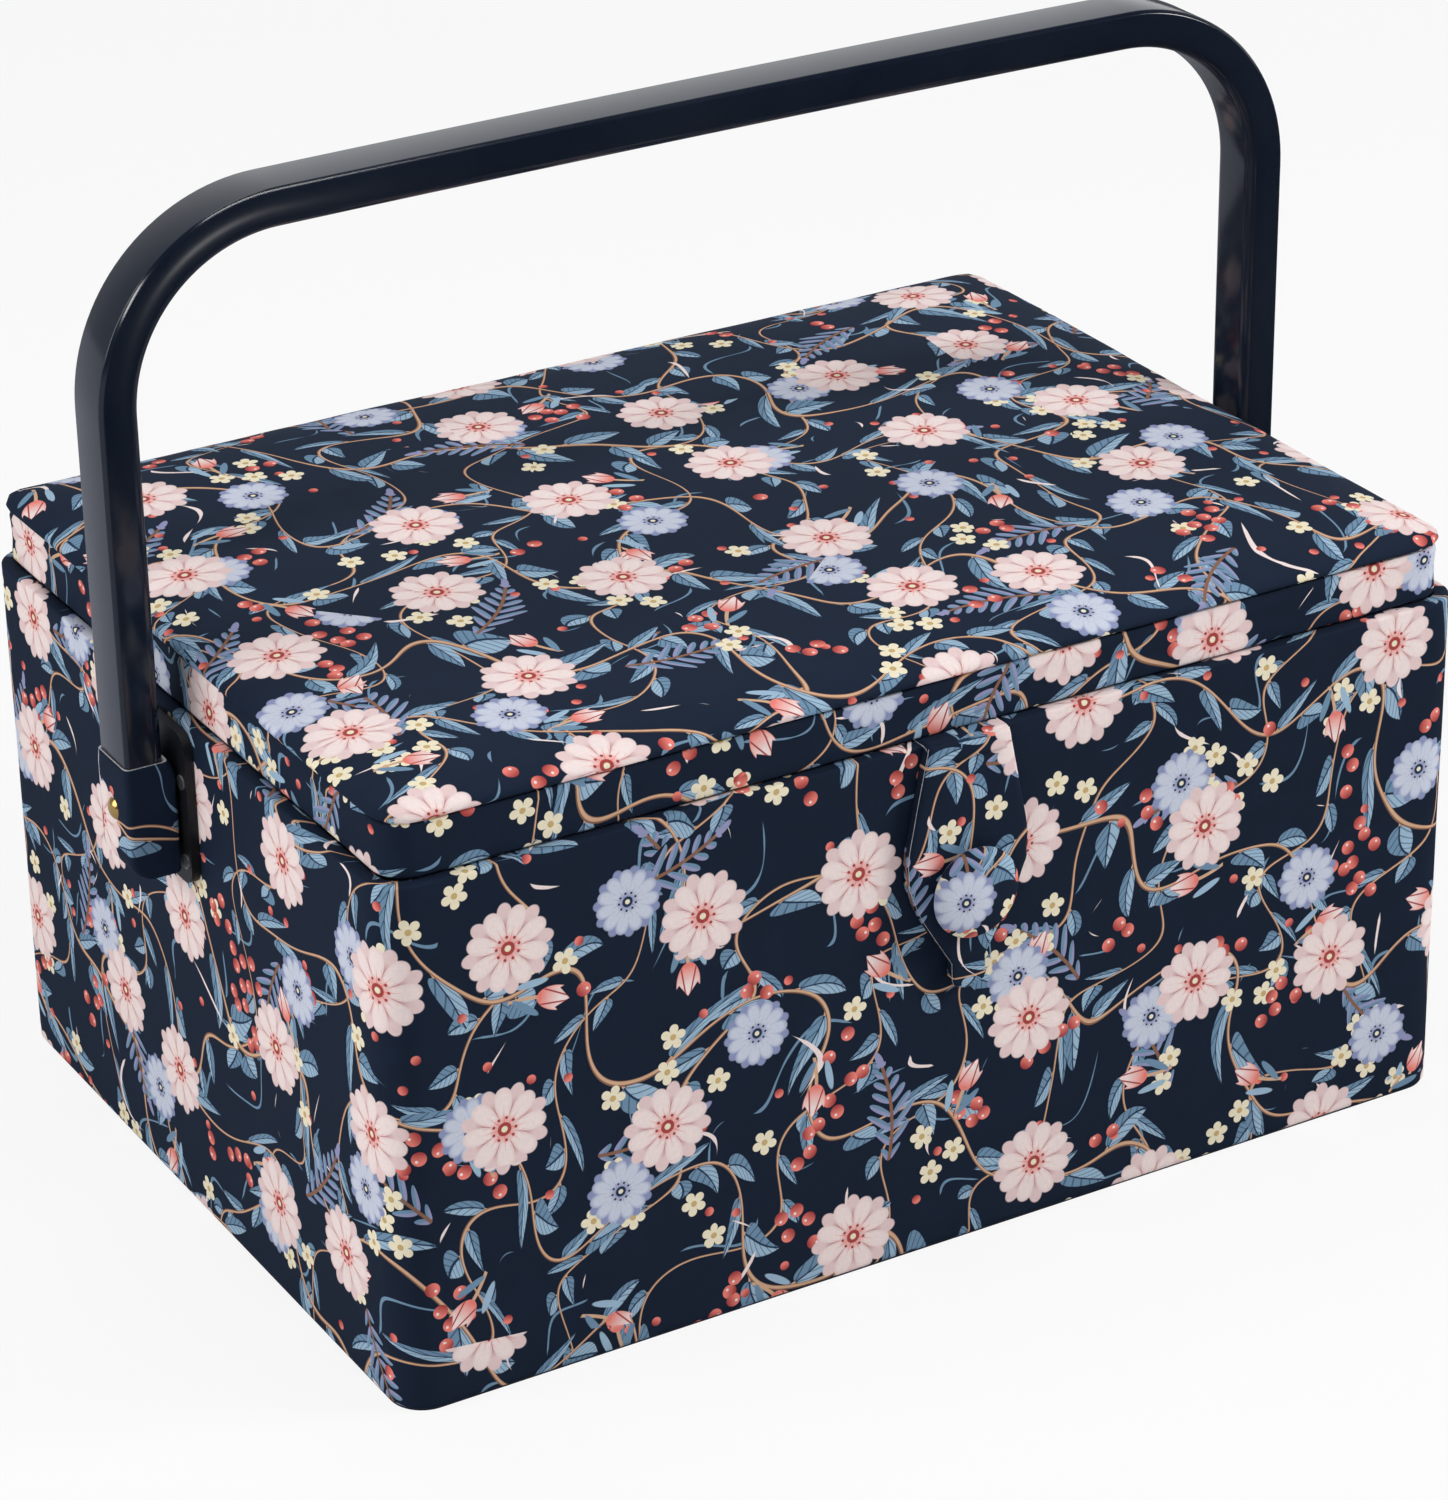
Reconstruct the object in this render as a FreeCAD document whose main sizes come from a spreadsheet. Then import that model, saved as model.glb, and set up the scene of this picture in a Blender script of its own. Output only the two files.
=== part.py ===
import FreeCAD, Part
import math
import os
import Sketcher

# Fabric-covered sewing box with a padded lid, a lift-out tray and a bail handle.
# Millimetres. X runs along the front, Y from front to back, Z up.
# The origin is the middle of the face that the box stands on.

os.makedirs("parts", exist_ok=True)
doc = FreeCAD.newDocument("sewing_box")
sheet = doc.addObject("Spreadsheet::Sheet", "Sizes")

SIZES = [
    # body
    ("box_length", 320, "outside, along the front"),
    ("box_depth", 234, "outside, front to back"),
    ("body_height", 147, "from the table to the rim"),
    ("corner_radius", 10, "outside, at the upright corners"),
    ("cloth", 0.6, "printed cotton with its glue"),
    ("glue_line", 0.1, "between one layer and the next"),
    ("wall_board", 3, "greyboard of the walls"),
    ("base_board_thick", 3, "greyboard of the base"),
    ("base_cloth", 0.8, "sheet under the base"),
    ("rim_turn", 13, "cloth turned down inside the rim"),
    ("lining", 0.5, "lining cloth with its glue"),
    ("lining_drop", 3, "from the rim down to the lining's edge"),
    ("support_thick", 4, "tray support board"),
    ("support_drop", 48.9, "from the rim down to the tray's supports"),
    ("support_end_gap", 6, "from the support's end to the bend of the wall"),
    # tray
    ("tray_gap", 1.5, "between tray and lining"),
    ("tray_seat", 0.2, "between tray and supports"),
    ("tray_height", 38, "outside"),
    ("tray_wall", 1.6, "outer wall"),
    ("tray_rib", 1.4, "wall between two compartments"),
    ("tray_floor", 1.8, "bottom of the compartments"),
    ("tray_radius", 6, "outside, at the tray's corners"),
    ("bin_radius", 3, "corners of a compartment"),
    ("tray_lane", 92, "long compartment, front to back"),
    ("bin_count", 4, "small compartments in a row"),
    ("thumb_radius", 13, "notch in the tray's ends"),
    # lid
    ("lid_gap", 0.9, "joint between rim and lid"),
    ("lid_inset_front", 2.7, "lid behind the body's front"),
    ("lid_inset_side", 3.5, "lid inside the body's ends"),
    ("lid_inset_back", 0.3, "lid inside the body's back"),
    ("lid_radius", 9, "outside, at the lid's corners"),
    ("lid_band", 13.5, "from the joint to the crease"),
    ("lid_board_thick", 3, "greyboard of the lid"),
    ("lid_turn", 6, "cloth turned up inside the lid"),
    ("lid_lining_up", 2.5, "from the joint up to the lining's edge"),
    ("crown", 7.8, "padded top above the crease, at its middle"),
    ("crown_reach", 62, "from the lid's edge to the flat of the crown"),
    # pocket and pincushion inside the lid
    ("pocket_cloth", 0.8, "gathered pocket cloth"),
    ("pocket_depth", 5.2, "room inside the pocket"),
    ("pocket_side_margin", 20, "from the box's left end"),
    ("pocket_front_margin", 55, "from the box's front to the pocket's mouth"),
    ("pocket_back_margin", 29, "from the box's back to the bottom seam"),
    ("pocket_cushion_gap", 20, "between pocket and pincushion"),
    ("elastic_width", 8, "elastic at the pocket's mouth"),
    ("elastic_thick", 1, "elastic at the pocket's mouth"),
    ("cushion_length", 84, "pincushion, along the lid"),
    ("cushion_width", 96, "pincushion, front to back"),
    ("cushion_crown", 8, "pincushion"),
    ("cushion_radius", 14, "pincushion's corners"),
    ("cushion_reach", 20, "from the pincushion's edge to its flat"),
    ("cushion_margin", 28, "from the box's right end"),
    # hinge and tab tape
    ("strip_thick", 0.6, "cloth hinge strip"),
    ("strip_down", 19, "hinge strip on the body"),
    ("strip_up", 10, "hinge strip on the lid"),
    ("strip_end_gap", 2, "from the strip's end to the bend of the wall"),
    ("tape_thick", 0.3, "tape that carries the tab"),
    ("tape_in", 8, "tape inside the lid's front"),
    ("tape_out", 0.2, "tape in front of the body"),
    # handle
    ("handle_reach", 162, "from the pivots to the top of the bow"),
    ("handle_thick", 9.8, "bar, across the bow's plane's inside and outside"),
    ("handle_width", 15.6, "bar, front to back"),
    ("handle_corner", 48.6, "bend at the bow's corners, outside"),
    ("handle_bow", 1760, "gentle bow of the grip, outside"),
    ("handle_sharp_edge", 0.9, "edges of the outer face"),
    ("handle_soft_edge", 2.8, "edges of the inner face"),
    ("pivot_drop", 22.3, "pivot rivets, below the rim"),
        ("pivot_radius", 2, "pivot rivet's shank"),
    ("pivot_slack", 0.05, "running clearance round the shank"),
    ("pivot_head_radius", 3.3, "pivot rivet's domed head"),
    ("pivot_head_rise", 1.7, "pivot rivet's domed head"),
    ("washer_radius", 6, "inside the wall"),
    ("washer_thick", 0.6, "inside the wall"),
    # sleeves and brackets
    ("sleeve_cloth", 0.7, "front, back, outside and heel of a sleeve"),
    ("sleeve_back", 3, "inner wall of a sleeve, cloth over board"),
    ("sleeve_rise", 14.8, "sleeve above the pivot"),
    ("sleeve_drop", 20.2, "sleeve below the pivot"),
    ("sleeve_round", 7, "lower outer edge of a sleeve"),
    ("sleeve_room", 0.8, "between sleeve and bracket"),
    ("bracket_thick", 2.5, "plate on the wall"),
    ("bracket_width", 25, "front to back"),
    ("bracket_rise", 21, "above the pivot"),
    ("bracket_drop", 21.7, "below the pivot"),
    ("bracket_round", 5, "corners of the plate"),
    ("fixing_radius", 1.1, "bracket rivet's shank"),
    ("fixing_head_radius", 2, "bracket rivet's head"),
    ("fixing_head_rise", 0.5, "bracket rivet's head"),
    ("fixing_side", 9.6, "bracket rivets, from the pivot to either side"),
    ("fixing_up", 7.5, "upper bracket rivets, above the pivot"),
    ("fixing_down", 15, "lower bracket rivets, below the pivot"),
    # closure tab, magnets and button
    ("tab_place", 3, "tab's middle, right of the front's"),
    ("tab_neck", 24, "tab's width at the joint"),
    ("tab_wide", 40, "tab's width at its shoulders"),
    ("tab_tip", 10, "tab's width at its tip"),
    ("tab_shoulder_drop", 38, "joint to shoulders"),
    ("tab_taper_drop", 63, "joint to the end of the taper"),
    ("tab_drop", 70, "joint to the tip"),
    ("tab_shoulder_round", 8, "rounding of the shoulders"),
    ("tab_tip_round", 2.5, "rounding of the tip"),
    ("tab_cloth", 0.8, "each of the tab's two cloths"),
    ("tab_core", 1.4, "interlining between them"),
    ("tab_core_inset", 2, "interlining inside the tab's edge"),
    ("tab_stand", 0.3, "between tab and body"),
    ("tab_top", 0.2, "tab's top above the rim"),
    ("magnet_radius", 7, "both magnets"),
    ("magnet_thick", 1.4, "both magnets"),
    ("magnet_slack", 0.2, "round a magnet"),
    ("button_drop", 41.5, "rim to the button's middle"),
    ("button_radius", 12.5, "covered button"),
    ("button_rise", 6, "covered button's dome"),
    ("button_cloth", 0.4, "cloth over the button"),
    ("button_shell", 0.5, "metal shell of the button"),
    ("button_back", 0.8, "plate that closes the button"),
    ("button_back_inset", 2.4, "plate inside the button's edge"),
    # working allowance
    ("overrun", 5, "cuts run past the faces that they open"),
]


class Size:
    """A length with its number and the sheet expression that gives it."""

    def __init__(self, text, number):
        self.text = text
        self.number = float(number)

    def __add__(self, other):
        return combine(self, "+", other, self.number + number_of(other))

    def __radd__(self, other):
        return combine(other, "+", self, number_of(other) + self.number)

    def __sub__(self, other):
        return combine(self, "-", other, self.number - number_of(other))

    def __rsub__(self, other):
        return combine(other, "-", self, number_of(other) - self.number)

    def __mul__(self, other):
        return combine(self, "*", other, self.number * number_of(other))

    def __rmul__(self, other):
        return combine(other, "*", self, number_of(other) * self.number)

    def __truediv__(self, other):
        return combine(self, "/", other, self.number / number_of(other))

    def __neg__(self):
        return Size("(-1 * " + self.text + ")", -self.number)


def number_of(value):
    return value.number if isinstance(value, Size) else float(value)


def text_of(value):
    return value.text if isinstance(value, Size) else repr(value)


def combine(left, sign, right, number):
    return Size("(" + text_of(left) + " " + sign + " " + text_of(right) + ")", number)


def root(value):
    return Size("sqrt(" + value.text + ")", math.sqrt(value.number))


def bind(owner, prop, value):
    """Tie a property to the sheet, or set it where it is zero."""
    if isinstance(value, Size):
        owner.setExpression(prop, value.text)


dims = {}
for row, (alias, number, note) in enumerate(SIZES, start=1):
    sheet.set("A" + str(row), alias)
    sheet.set("B" + str(row), str(number))
    sheet.set("C" + str(row), note)
    sheet.setAlias("B" + str(row), alias)
    dims[alias] = Size("Sizes." + alias, number)
doc.recompute()

nodes = []
TURN_TO_X = FreeCAD.Rotation(FreeCAD.Vector(0, 1, 0), 90)
TURN_TO_FRONT = FreeCAD.Rotation(FreeCAD.Vector(1, 0, 0), 90)


def finish(thing, label):
    """Give a finished piece its node name."""
    thing.Label = label
    nodes.append(thing)
    return thing


def place(thing, x, y, z, turn=None):
    values = [number_of(v) for v in (x, y, z)]
    rotation = turn if turn else FreeCAD.Rotation()
    thing.Placement = FreeCAD.Placement(FreeCAD.Vector(*values), rotation)
    for axis, value in zip("xyz", (x, y, z)):
        bind(thing, "Placement.Base." + axis, value)
    return thing


def block(name, low, high):
    """Plain board between two corners."""
    thing = doc.addObject("Part::Box", name)
    for prop, start, end in zip(("Length", "Width", "Height"), low, high):
        bind(thing, prop, end - start)
    return place(thing, *low)


def rod(name, radius, length, x, y, z, turn=None):
    thing = doc.addObject("Part::Cylinder", name)
    bind(thing, "Radius", radius)
    bind(thing, "Height", length)
    return place(thing, x, y, z, turn)


def ball(name, radius, x, y, z):
    thing = doc.addObject("Part::Sphere", name)
    bind(thing, "Radius", radius)
    return place(thing, x, y, z)


def less(name, base, tool):
    thing = doc.addObject("Part::Cut", name)
    thing.Base = base
    thing.Tool = tool
    return thing


def common(name, first, second):
    thing = doc.addObject("Part::MultiCommon", name)
    thing.Shapes = [first, second]
    return thing


def group(name, pieces):
    thing = doc.addObject("Part::Compound", name)
    thing.Links = pieces
    return thing


def unite(name, pieces):
    thing = doc.addObject("Part::MultiFuse", name)
    thing.Shapes = pieces
    return thing


def new_body(name):
    return doc.addObject("PartDesign::Body", name)


def new_sketch(body, name, plane, offset=0):
    """Sketch on one of the body's own origin planes, moved along its normal."""
    sketch = body.newObject("Sketcher::SketchObject", name)
    face = [f for f in body.Origin.OriginFeatures if f.Role == plane][0]
    sketch.AttachmentSupport = [(face, "")]
    sketch.MapMode = "FlatFace"
    lift = FreeCAD.Vector(0, 0, number_of(offset))
    sketch.AttachmentOffset = FreeCAD.Placement(lift, FreeCAD.Rotation())
    bind(sketch, "AttachmentOffset.Base.z", offset)
    return sketch


def datum(sketch, kind, *places_and_value):
    """Add a measured constraint and tie it to the sheet."""
    value = places_and_value[-1]
    index = sketch.addConstraint(Sketcher.Constraint(kind, *places_and_value[:-1], number_of(value)))
    if isinstance(value, Size):
        sketch.setExpression("Constraints[" + str(index) + "]", value.text)


def rounded(sketch, west, east, south, north, east_round, west_round=None):
    """Rectangle with rounded corners between four measured sides."""
    west_round = west_round if west_round else east_round
    w, e, s, n = (number_of(v) for v in (west, east, south, north))
    re, rw = number_of(east_round), number_of(west_round)
    up = FreeCAD.Vector(0, 0, 1)

    def point(x, y):
        return FreeCAD.Vector(x, y, 0)

    def bend(x, y, radius, start):
        circle = Part.Circle(point(x, y), up, radius)
        return Part.ArcOfCircle(circle, math.radians(start), math.radians(start + 90))

    edges = [
        Part.LineSegment(point(w + rw, s), point(e - re, s)),
        bend(e - re, s + re, re, 270),
        Part.LineSegment(point(e, s + re), point(e, n - re)),
        bend(e - re, n - re, re, 0),
        Part.LineSegment(point(e - re, n), point(w + rw, n)),
        bend(w + rw, n - rw, rw, 90),
        Part.LineSegment(point(w, n - rw), point(w, s + rw)),
        bend(w + rw, s + rw, rw, 180),
    ]
    first = sketch.GeometryCount
    sketch.addGeometry(edges)
    count = len(edges)
    for step in range(count):
        here = first + step
        following = first + (step + 1) % count
        sketch.addConstraint(Sketcher.Constraint("Tangent", here, 2, following, 1))
    for step, kind in ((0, "Horizontal"), (2, "Vertical"), (4, "Horizontal"), (6, "Vertical")):
        sketch.addConstraint(Sketcher.Constraint(kind, first + step))
    sketch.addConstraint(Sketcher.Constraint("Equal", first + 1, first + 3))
    sketch.addConstraint(Sketcher.Constraint("Equal", first + 5, first + 7))
    datum(sketch, "Radius", first + 1, east_round)
    datum(sketch, "Radius", first + 5, west_round)
    datum(sketch, "DistanceY", -1, 1, first, 1, south)
    datum(sketch, "DistanceX", -1, 1, first + 2, 1, east)
    datum(sketch, "DistanceY", -1, 1, first + 4, 1, north)
    datum(sketch, "DistanceX", -1, 1, first + 6, 1, west)


def polygon(sketch, corners):
    """Closed outline through measured corners."""
    points = [FreeCAD.Vector(number_of(x), number_of(y), 0) for x, y in corners]
    count = len(points)
    first = sketch.GeometryCount
    for step in range(count):
        sketch.addGeometry(Part.LineSegment(points[step], points[(step + 1) % count]))
    for step in range(count):
        following = first + (step + 1) % count
        sketch.addConstraint(Sketcher.Constraint("Coincident", first + step, 2, following, 1))
    for step, (x, y) in enumerate(corners):
        datum(sketch, "DistanceX", -1, 1, first + step, 1, x)
        datum(sketch, "DistanceY", -1, 1, first + step, 1, y)


def circle(sketch, x, y, radius):
    centre = FreeCAD.Vector(number_of(x), number_of(y), 0)
    index = sketch.addGeometry(Part.Circle(centre, FreeCAD.Vector(0, 0, 1), number_of(radius)))
    datum(sketch, "Radius", index, radius)
    datum(sketch, "DistanceX", -1, 1, index, 3, x)
    datum(sketch, "DistanceY", -1, 1, index, 3, y)


def pad(body, sketch, length):
    feature = body.newObject("PartDesign::Pad", sketch.Name + "_pad")
    feature.Profile = sketch
    bind(feature, "Length", length)
    return feature


def pocket(body, sketch, length):
    feature = body.newObject("PartDesign::Pocket", sketch.Name + "_pocket")
    feature.Profile = sketch
    bind(feature, "Length", length)
    return feature


def round_edges(body, feature, name, radius, wanted):
    """Round the edges of a feature that a test picks by their middle and direction."""
    doc.recompute()
    picked = []
    for index, edge in enumerate(feature.Shape.Edges, start=1):
        middle = edge.valueAt((edge.FirstParameter + edge.LastParameter) / 2)
        along = edge.tangentAt(edge.FirstParameter)
        if edge.Curve.TypeId == "Part::GeomLine" and wanted(middle, along):
            picked.append("Edge" + str(index))
    fillet = body.newObject("PartDesign::Fillet", name)
    fillet.Base = (feature, picked)
    bind(fillet, "Radius", radius)
    return fillet


def ring(name, layers):
    """Upright shell of cloth: each layer is an outer outline, an inner one and two heights."""
    body = new_body(name)
    for index, (outer, inner, low, high) in enumerate(layers):
        sketch = new_sketch(body, name + "_outline_" + str(index), "XY_Plane", low)
        rounded(sketch, *outer)
        if inner:
            rounded(sketch, *inner)
        pad(body, sketch, high - low)
    return body


def plan(inset, frame):
    """Rounded outline of the body or lid, taken in by an inset."""
    west, east, south, north, radius = frame
    corner = radius - inset if radius.number > number_of(inset) + number_of(cloth) else cloth
    return (west + inset, east - inset, south + inset, north - inset, corner)


globals().update(dims)

# shared places
half_x = box_length / 2
half_y = box_depth / 2
body_frame = (-half_x, half_x, -half_y, half_y, corner_radius)
wall_out = cloth + glue_line
wall_in = wall_out + wall_board
fold_in = wall_in + glue_line + cloth
lining_out = fold_in + glue_line
lining_in = lining_out + lining
base_top = base_cloth + glue_line + base_board_thick
wall_low = base_top + glue_line
wall_high = body_height - cloth - glue_line
bend_x = half_x - corner_radius
bend_y = half_y - corner_radius
floor_top = base_top + glue_line + lining
pivot_slack_radius = pivot_radius + pivot_slack


def quarter(name, x, y, start, outer, inner, low, high):
    """Upright quarter ring: the bent board of a corner."""
    turn = FreeCAD.Rotation(FreeCAD.Vector(0, 0, 1), start)
    solid = rod(name + "_outside", outer, high - low, x, y, low, turn)
    solid.Angle = 90
    hole = rod(name + "_inside", inner, high - low + 2 * overrun, x, y, low - overrun)
    return finish(less(name + "_bend", solid, hole), name)


def frame_of_boards(prefix, corner_prefix, frame, low, high, bores):
    """Four straight boards and four bent corners inside a rounded outline."""
    west, east, south, north, radius = frame
    out, inner = wall_out, wall_in
    x0, x1 = west + radius + glue_line, east - radius - glue_line
    y0, y1 = south + radius + glue_line, north - radius - glue_line
    boards = {
        "front": ((x0, south + out, low), (x1, south + inner, high)),
        "back": ((x0, north - inner, low), (x1, north - out, high)),
        "left": ((west + out, y0, low), (west + inner, y1, high)),
        "right": ((east - inner, y0, low), (east - out, y1, high)),
    }
    for side, (start, end) in boards.items():
        name = prefix + side
        board = block(name + "_board", start, end)
        for index, bore in enumerate(bores.get(side, [])):
            board = less(name + "_bored_" + str(index), board, bore)
        finish(board, name)
    corners = {
        "front_left": (west + radius, south + radius, 180),
        "front_right": (east - radius, south + radius, 270),
        "back_left": (west + radius, north - radius, 90),
        "back_right": (east - radius, north - radius, 0),
    }
    for side, (x, y, start) in corners.items():
        quarter(corner_prefix + side, x, y, start, radius - out, radius - inner, low, high)


def pillow(name, frame, base, rise, reach, inset_shares, rise_shares, round_share, inward=0, cut=0, start=0):
    """Stuffed form: rounded outlines drawn in step by step as they rise."""
    west, east, south, north, radius = frame
    body = new_body(name)
    sketches = []
    for index, (inset_part, rise_part) in enumerate(zip(inset_shares, rise_shares)):
        height = base + rise * rise_part
        height = height - cut if index else height - start
        inset = reach * inset_part + inward
        sketch = new_sketch(body, name + "_level_" + str(index), "XY_Plane", height)
        rounded(sketch, west + inset, east - inset, south + inset, north - inset, radius + inset * round_share)
        sketches.append(sketch)
    loft = body.newObject("PartDesign::AdditiveLoft", name + "_loft")
    loft.Profile = sketches[0]
    loft.Sections = sketches[1:]
    loft.Ruled = True
    return body


def heel(name, side, inner, outer, half_width, low, high, radius):
    """Upright block beside the box with its lower outer edge rounded."""
    def span(near, far):
        return (near, far) if side > 0 else (-far, -near)
    x0, x1 = span(inner, outer)
    solid = block(name + "_block", (x0, -half_width, low), (x1, half_width, high))
    x0, x1 = span(outer - radius, outer + overrun)
    wide = half_width + overrun
    waste = block(name + "_waste", (x0, -wide, low - overrun), (x1, wide, low + radius))
    middle = outer - radius if side > 0 else radius - outer
    roller = rod(name + "_roller", radius, 2 * wide, middle, wide, low + radius, TURN_TO_FRONT)
    return less(name + "_heel", solid, less(name + "_corner", waste, roller))


# openings through the ends of the box for the pivots and the bracket rivets
SIDES = (("left", -1), ("right", 1))
fixing_places = [
    (-fixing_side, fixing_up),
    (fixing_side, fixing_up),
    (-fixing_side, -fixing_down),
    (fixing_side, -fixing_down),
]
bracket_face = half_x + glue_line + bracket_thick
sleeve_inner = bracket_face + sleeve_room
leg_inner = sleeve_inner + sleeve_back
leg_outer = leg_inner + handle_thick
pivot_height = body_height - pivot_drop
sleeve_skin = sleeve_cloth + glue_line
sleeve_outer = leg_outer + sleeve_skin
sleeve_low = pivot_height - sleeve_drop
sleeve_high = pivot_height + sleeve_rise
leg_low = sleeve_low + sleeve_skin
drill_length = 2 * (sleeve_outer + pivot_head_rise + overrun)
pivot_drill = rod(
    "pivot_drill", pivot_slack_radius, drill_length, -drill_length / 2, 0, pivot_height, TURN_TO_X
)
fixing_drills = [
    rod(
        "fixing_drill_" + str(index), fixing_radius + pivot_slack, drill_length,
        -drill_length / 2, along, pivot_height + up, TURN_TO_X,
    )
    for index, (along, up) in enumerate(fixing_places)
]
side_drills = unite("side_drills", [pivot_drill] + fixing_drills)

# base
board_frame = plan(wall_out, body_frame)
base_cover_sheet = new_body("base_cover_sheet")
base_cover_outline = new_sketch(base_cover_sheet, "base_cover_outline", "XY_Plane")
rounded(base_cover_outline, *board_frame)
pad(base_cover_sheet, base_cover_outline, base_cloth)
finish(base_cover_sheet, "base_cover")

base_board_plate = new_body("base_board_plate")
base_board_outline = new_sketch(base_board_plate, "base_board_outline", "XY_Plane", base_cloth + glue_line)
rounded(base_board_outline, *board_frame)
pad(base_board_plate, base_board_outline, base_board_thick)
finish(base_board_plate, "base_board")

# walls, with a blind seat for the magnet from outside
button_height = body_height - button_drop
magnet_seat_depth = magnet_thick + magnet_slack
magnet_seat = rod(
    "magnet_seat", magnet_radius + magnet_slack, magnet_seat_depth + overrun,
    tab_place, -(half_y - wall_out - magnet_seat_depth), button_height, TURN_TO_FRONT,
)
frame_of_boards(
    "wall_", "corner_", body_frame, wall_low, wall_high,
    {"front": [magnet_seat], "left": [side_drills], "right": [side_drills]},
)
front_magnet = rod(
    "front_magnet_disc", magnet_radius, magnet_thick, tab_place,
    -(half_y - wall_out - magnet_seat_depth + glue_line), button_height, TURN_TO_FRONT,
)
finish(front_magnet, "front_magnet")

# printed cover: skin, rim and the turn inside the rim
turn_out = wall_in + glue_line
side_cover_cloth = ring("side_cover_cloth", [
    (plan(0, body_frame), plan(cloth, body_frame), 0, body_height),
    (plan(0, body_frame), plan(fold_in, body_frame), body_height - cloth, body_height),
    (plan(turn_out, body_frame), plan(fold_in, body_frame), body_height - rim_turn, body_height),
])
finish(less("side_cover_bored", side_cover_cloth, side_drills), "side_cover")

# lining
lining_frame = plan(lining_out, body_frame)
lining_walls = ring("lining_walls_cloth", [
    (lining_frame, plan(lining_in, body_frame), floor_top + glue_line, body_height - lining_drop),
])
finish(lining_walls, "lining_walls")
lining_floor = new_body("lining_floor")
lining_floor_outline = new_sketch(lining_floor, "lining_floor_outline", "XY_Plane", base_top + glue_line)
rounded(lining_floor_outline, *lining_frame)
pad(lining_floor, lining_floor_outline, lining)
finish(lining_floor, "lining_base")

# tray supports
support_low = floor_top + glue_line
support_high = body_height - support_drop
support_out = half_x - lining_in - glue_line
support_end = bend_y - support_end_gap
for side, sign in SIDES:
    near, far = support_out - support_thick, support_out
    x0, x1 = (near, far) if sign > 0 else (-far, -near)
    support = block("support_" + side, (x0, -support_end, support_low), (x1, support_end, support_high))
    finish(support, "tray_support_" + side)

# brackets, rivets and washers at the two pivots
for side, sign in SIDES:
    plate = new_body("bracket_plate_" + side)
    lift = half_x + glue_line if sign > 0 else -bracket_face
    outline = new_sketch(plate, "bracket_outline_" + side, "YZ_Plane", lift)
    half_plate = bracket_width / 2
    rounded(
        outline, -half_plate, half_plate, pivot_height - bracket_drop, pivot_height + bracket_rise,
        bracket_round,
    )
    pad(plate, outline, bracket_thick)
    finish(less("bracket_bored_" + side, plate, side_drills), "pivot_bracket_" + side)

fixings = []
fixing_in = half_x - wall_in
for side, sign in SIDES:
    for index, (along, up) in enumerate(fixing_places):
        tag = side + "_" + str(index)
        length = bracket_face - fixing_in
        start = fixing_in if sign > 0 else -bracket_face
        shank = rod("fixing_shank_" + tag, fixing_radius, length, start, along, pivot_height + up, TURN_TO_X)
        start = bracket_face if sign > 0 else -bracket_face - fixing_head_rise
        head = rod(
            "fixing_head_" + tag, fixing_head_radius, fixing_head_rise, start, along,
            pivot_height + up, TURN_TO_X,
        )
        fixings.append(unite("fixing_" + tag, [shank, head]))
finish(group("fixings", fixings), "bracket_rivets")

washer_out = half_x - wall_in - glue_line
washer_in = washer_out - washer_thick
washers = []
for side, sign in SIDES:
    start = washer_in if sign > 0 else -washer_out
    disc = rod("washer_disc_" + side, washer_radius, washer_thick, start, 0, pivot_height, TURN_TO_X)
    washers.append(less("washer_" + side, disc, pivot_drill))
finish(group("washers", washers), "pivot_washers")

head_seat = sleeve_outer + glue_line
head_ball = (pivot_head_radius * pivot_head_radius + pivot_head_rise * pivot_head_rise) / (2 * pivot_head_rise)
for side, sign in SIDES:
    length = head_seat - washer_in
    start = washer_in if sign > 0 else -head_seat
    shank = rod("pivot_shank_" + side, pivot_radius, length, start, 0, pivot_height, TURN_TO_X)
    centre = head_seat + pivot_head_rise - head_ball
    centre = centre if sign > 0 else -centre
    dome = ball("pivot_dome_" + side, head_ball, centre, 0, pivot_height)
    start = head_seat if sign > 0 else -head_seat - head_ball
    reach = rod("pivot_reach_" + side, pivot_head_radius, head_ball, start, 0, pivot_height, TURN_TO_X)
    rivet = unite("pivot_pin_" + side, [shank, common("pivot_head_" + side, dome, reach)])
    finish(rivet, "pivot_rivet_" + side)

# hinge strip behind body and lid
lid_low = body_height + lid_gap
strip_half = bend_x - strip_end_gap
strip_face = half_y + glue_line
hinge_strip = block(
    "hinge_cloth",
    (-strip_half, strip_face, body_height - strip_down),
    (strip_half, strip_face + strip_thick, lid_low + strip_up),
)
finish(hinge_strip, "hinge_strip")

# tray: one lane at the back and a row of square bins in front
tray_x = half_x - lining_in - tray_gap
tray_y = half_y - lining_in - tray_gap
tray_low = support_high + tray_seat
tray_high = tray_low + tray_height
tray_body = new_body("tray_moulding")
tray_outline = new_sketch(tray_body, "tray_outline", "XY_Plane", tray_low)
rounded(tray_outline, -tray_x, tray_x, -tray_y, tray_y, tray_radius)
pad(tray_body, tray_outline, tray_height)
doc.recompute()
full_volume = tray_body.Shape.Volume
inner_x = tray_x - tray_wall
inner_y = tray_y - tray_wall
lane_low = inner_y - tray_lane
bins_high = lane_low - tray_rib
tray_bins = new_sketch(tray_body, "tray_bins", "XY_Plane", tray_high)
rounded(tray_bins, -inner_x, inner_x, lane_low, inner_y, bin_radius)
bins = int(bin_count.number)
bin_length = (2 * inner_x - (bins - 1) * tray_rib) / bins
for index in range(bins):
    start = -inner_x + index * (bin_length + tray_rib)
    rounded(tray_bins, start, start + bin_length, -inner_y, bins_high, bin_radius)
pocket(tray_body, tray_bins, tray_height - tray_floor)
doc.recompute()
if tray_body.Shape.Volume > full_volume / 2:
    raise RuntimeError("the tray's compartments were not cut")
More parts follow.
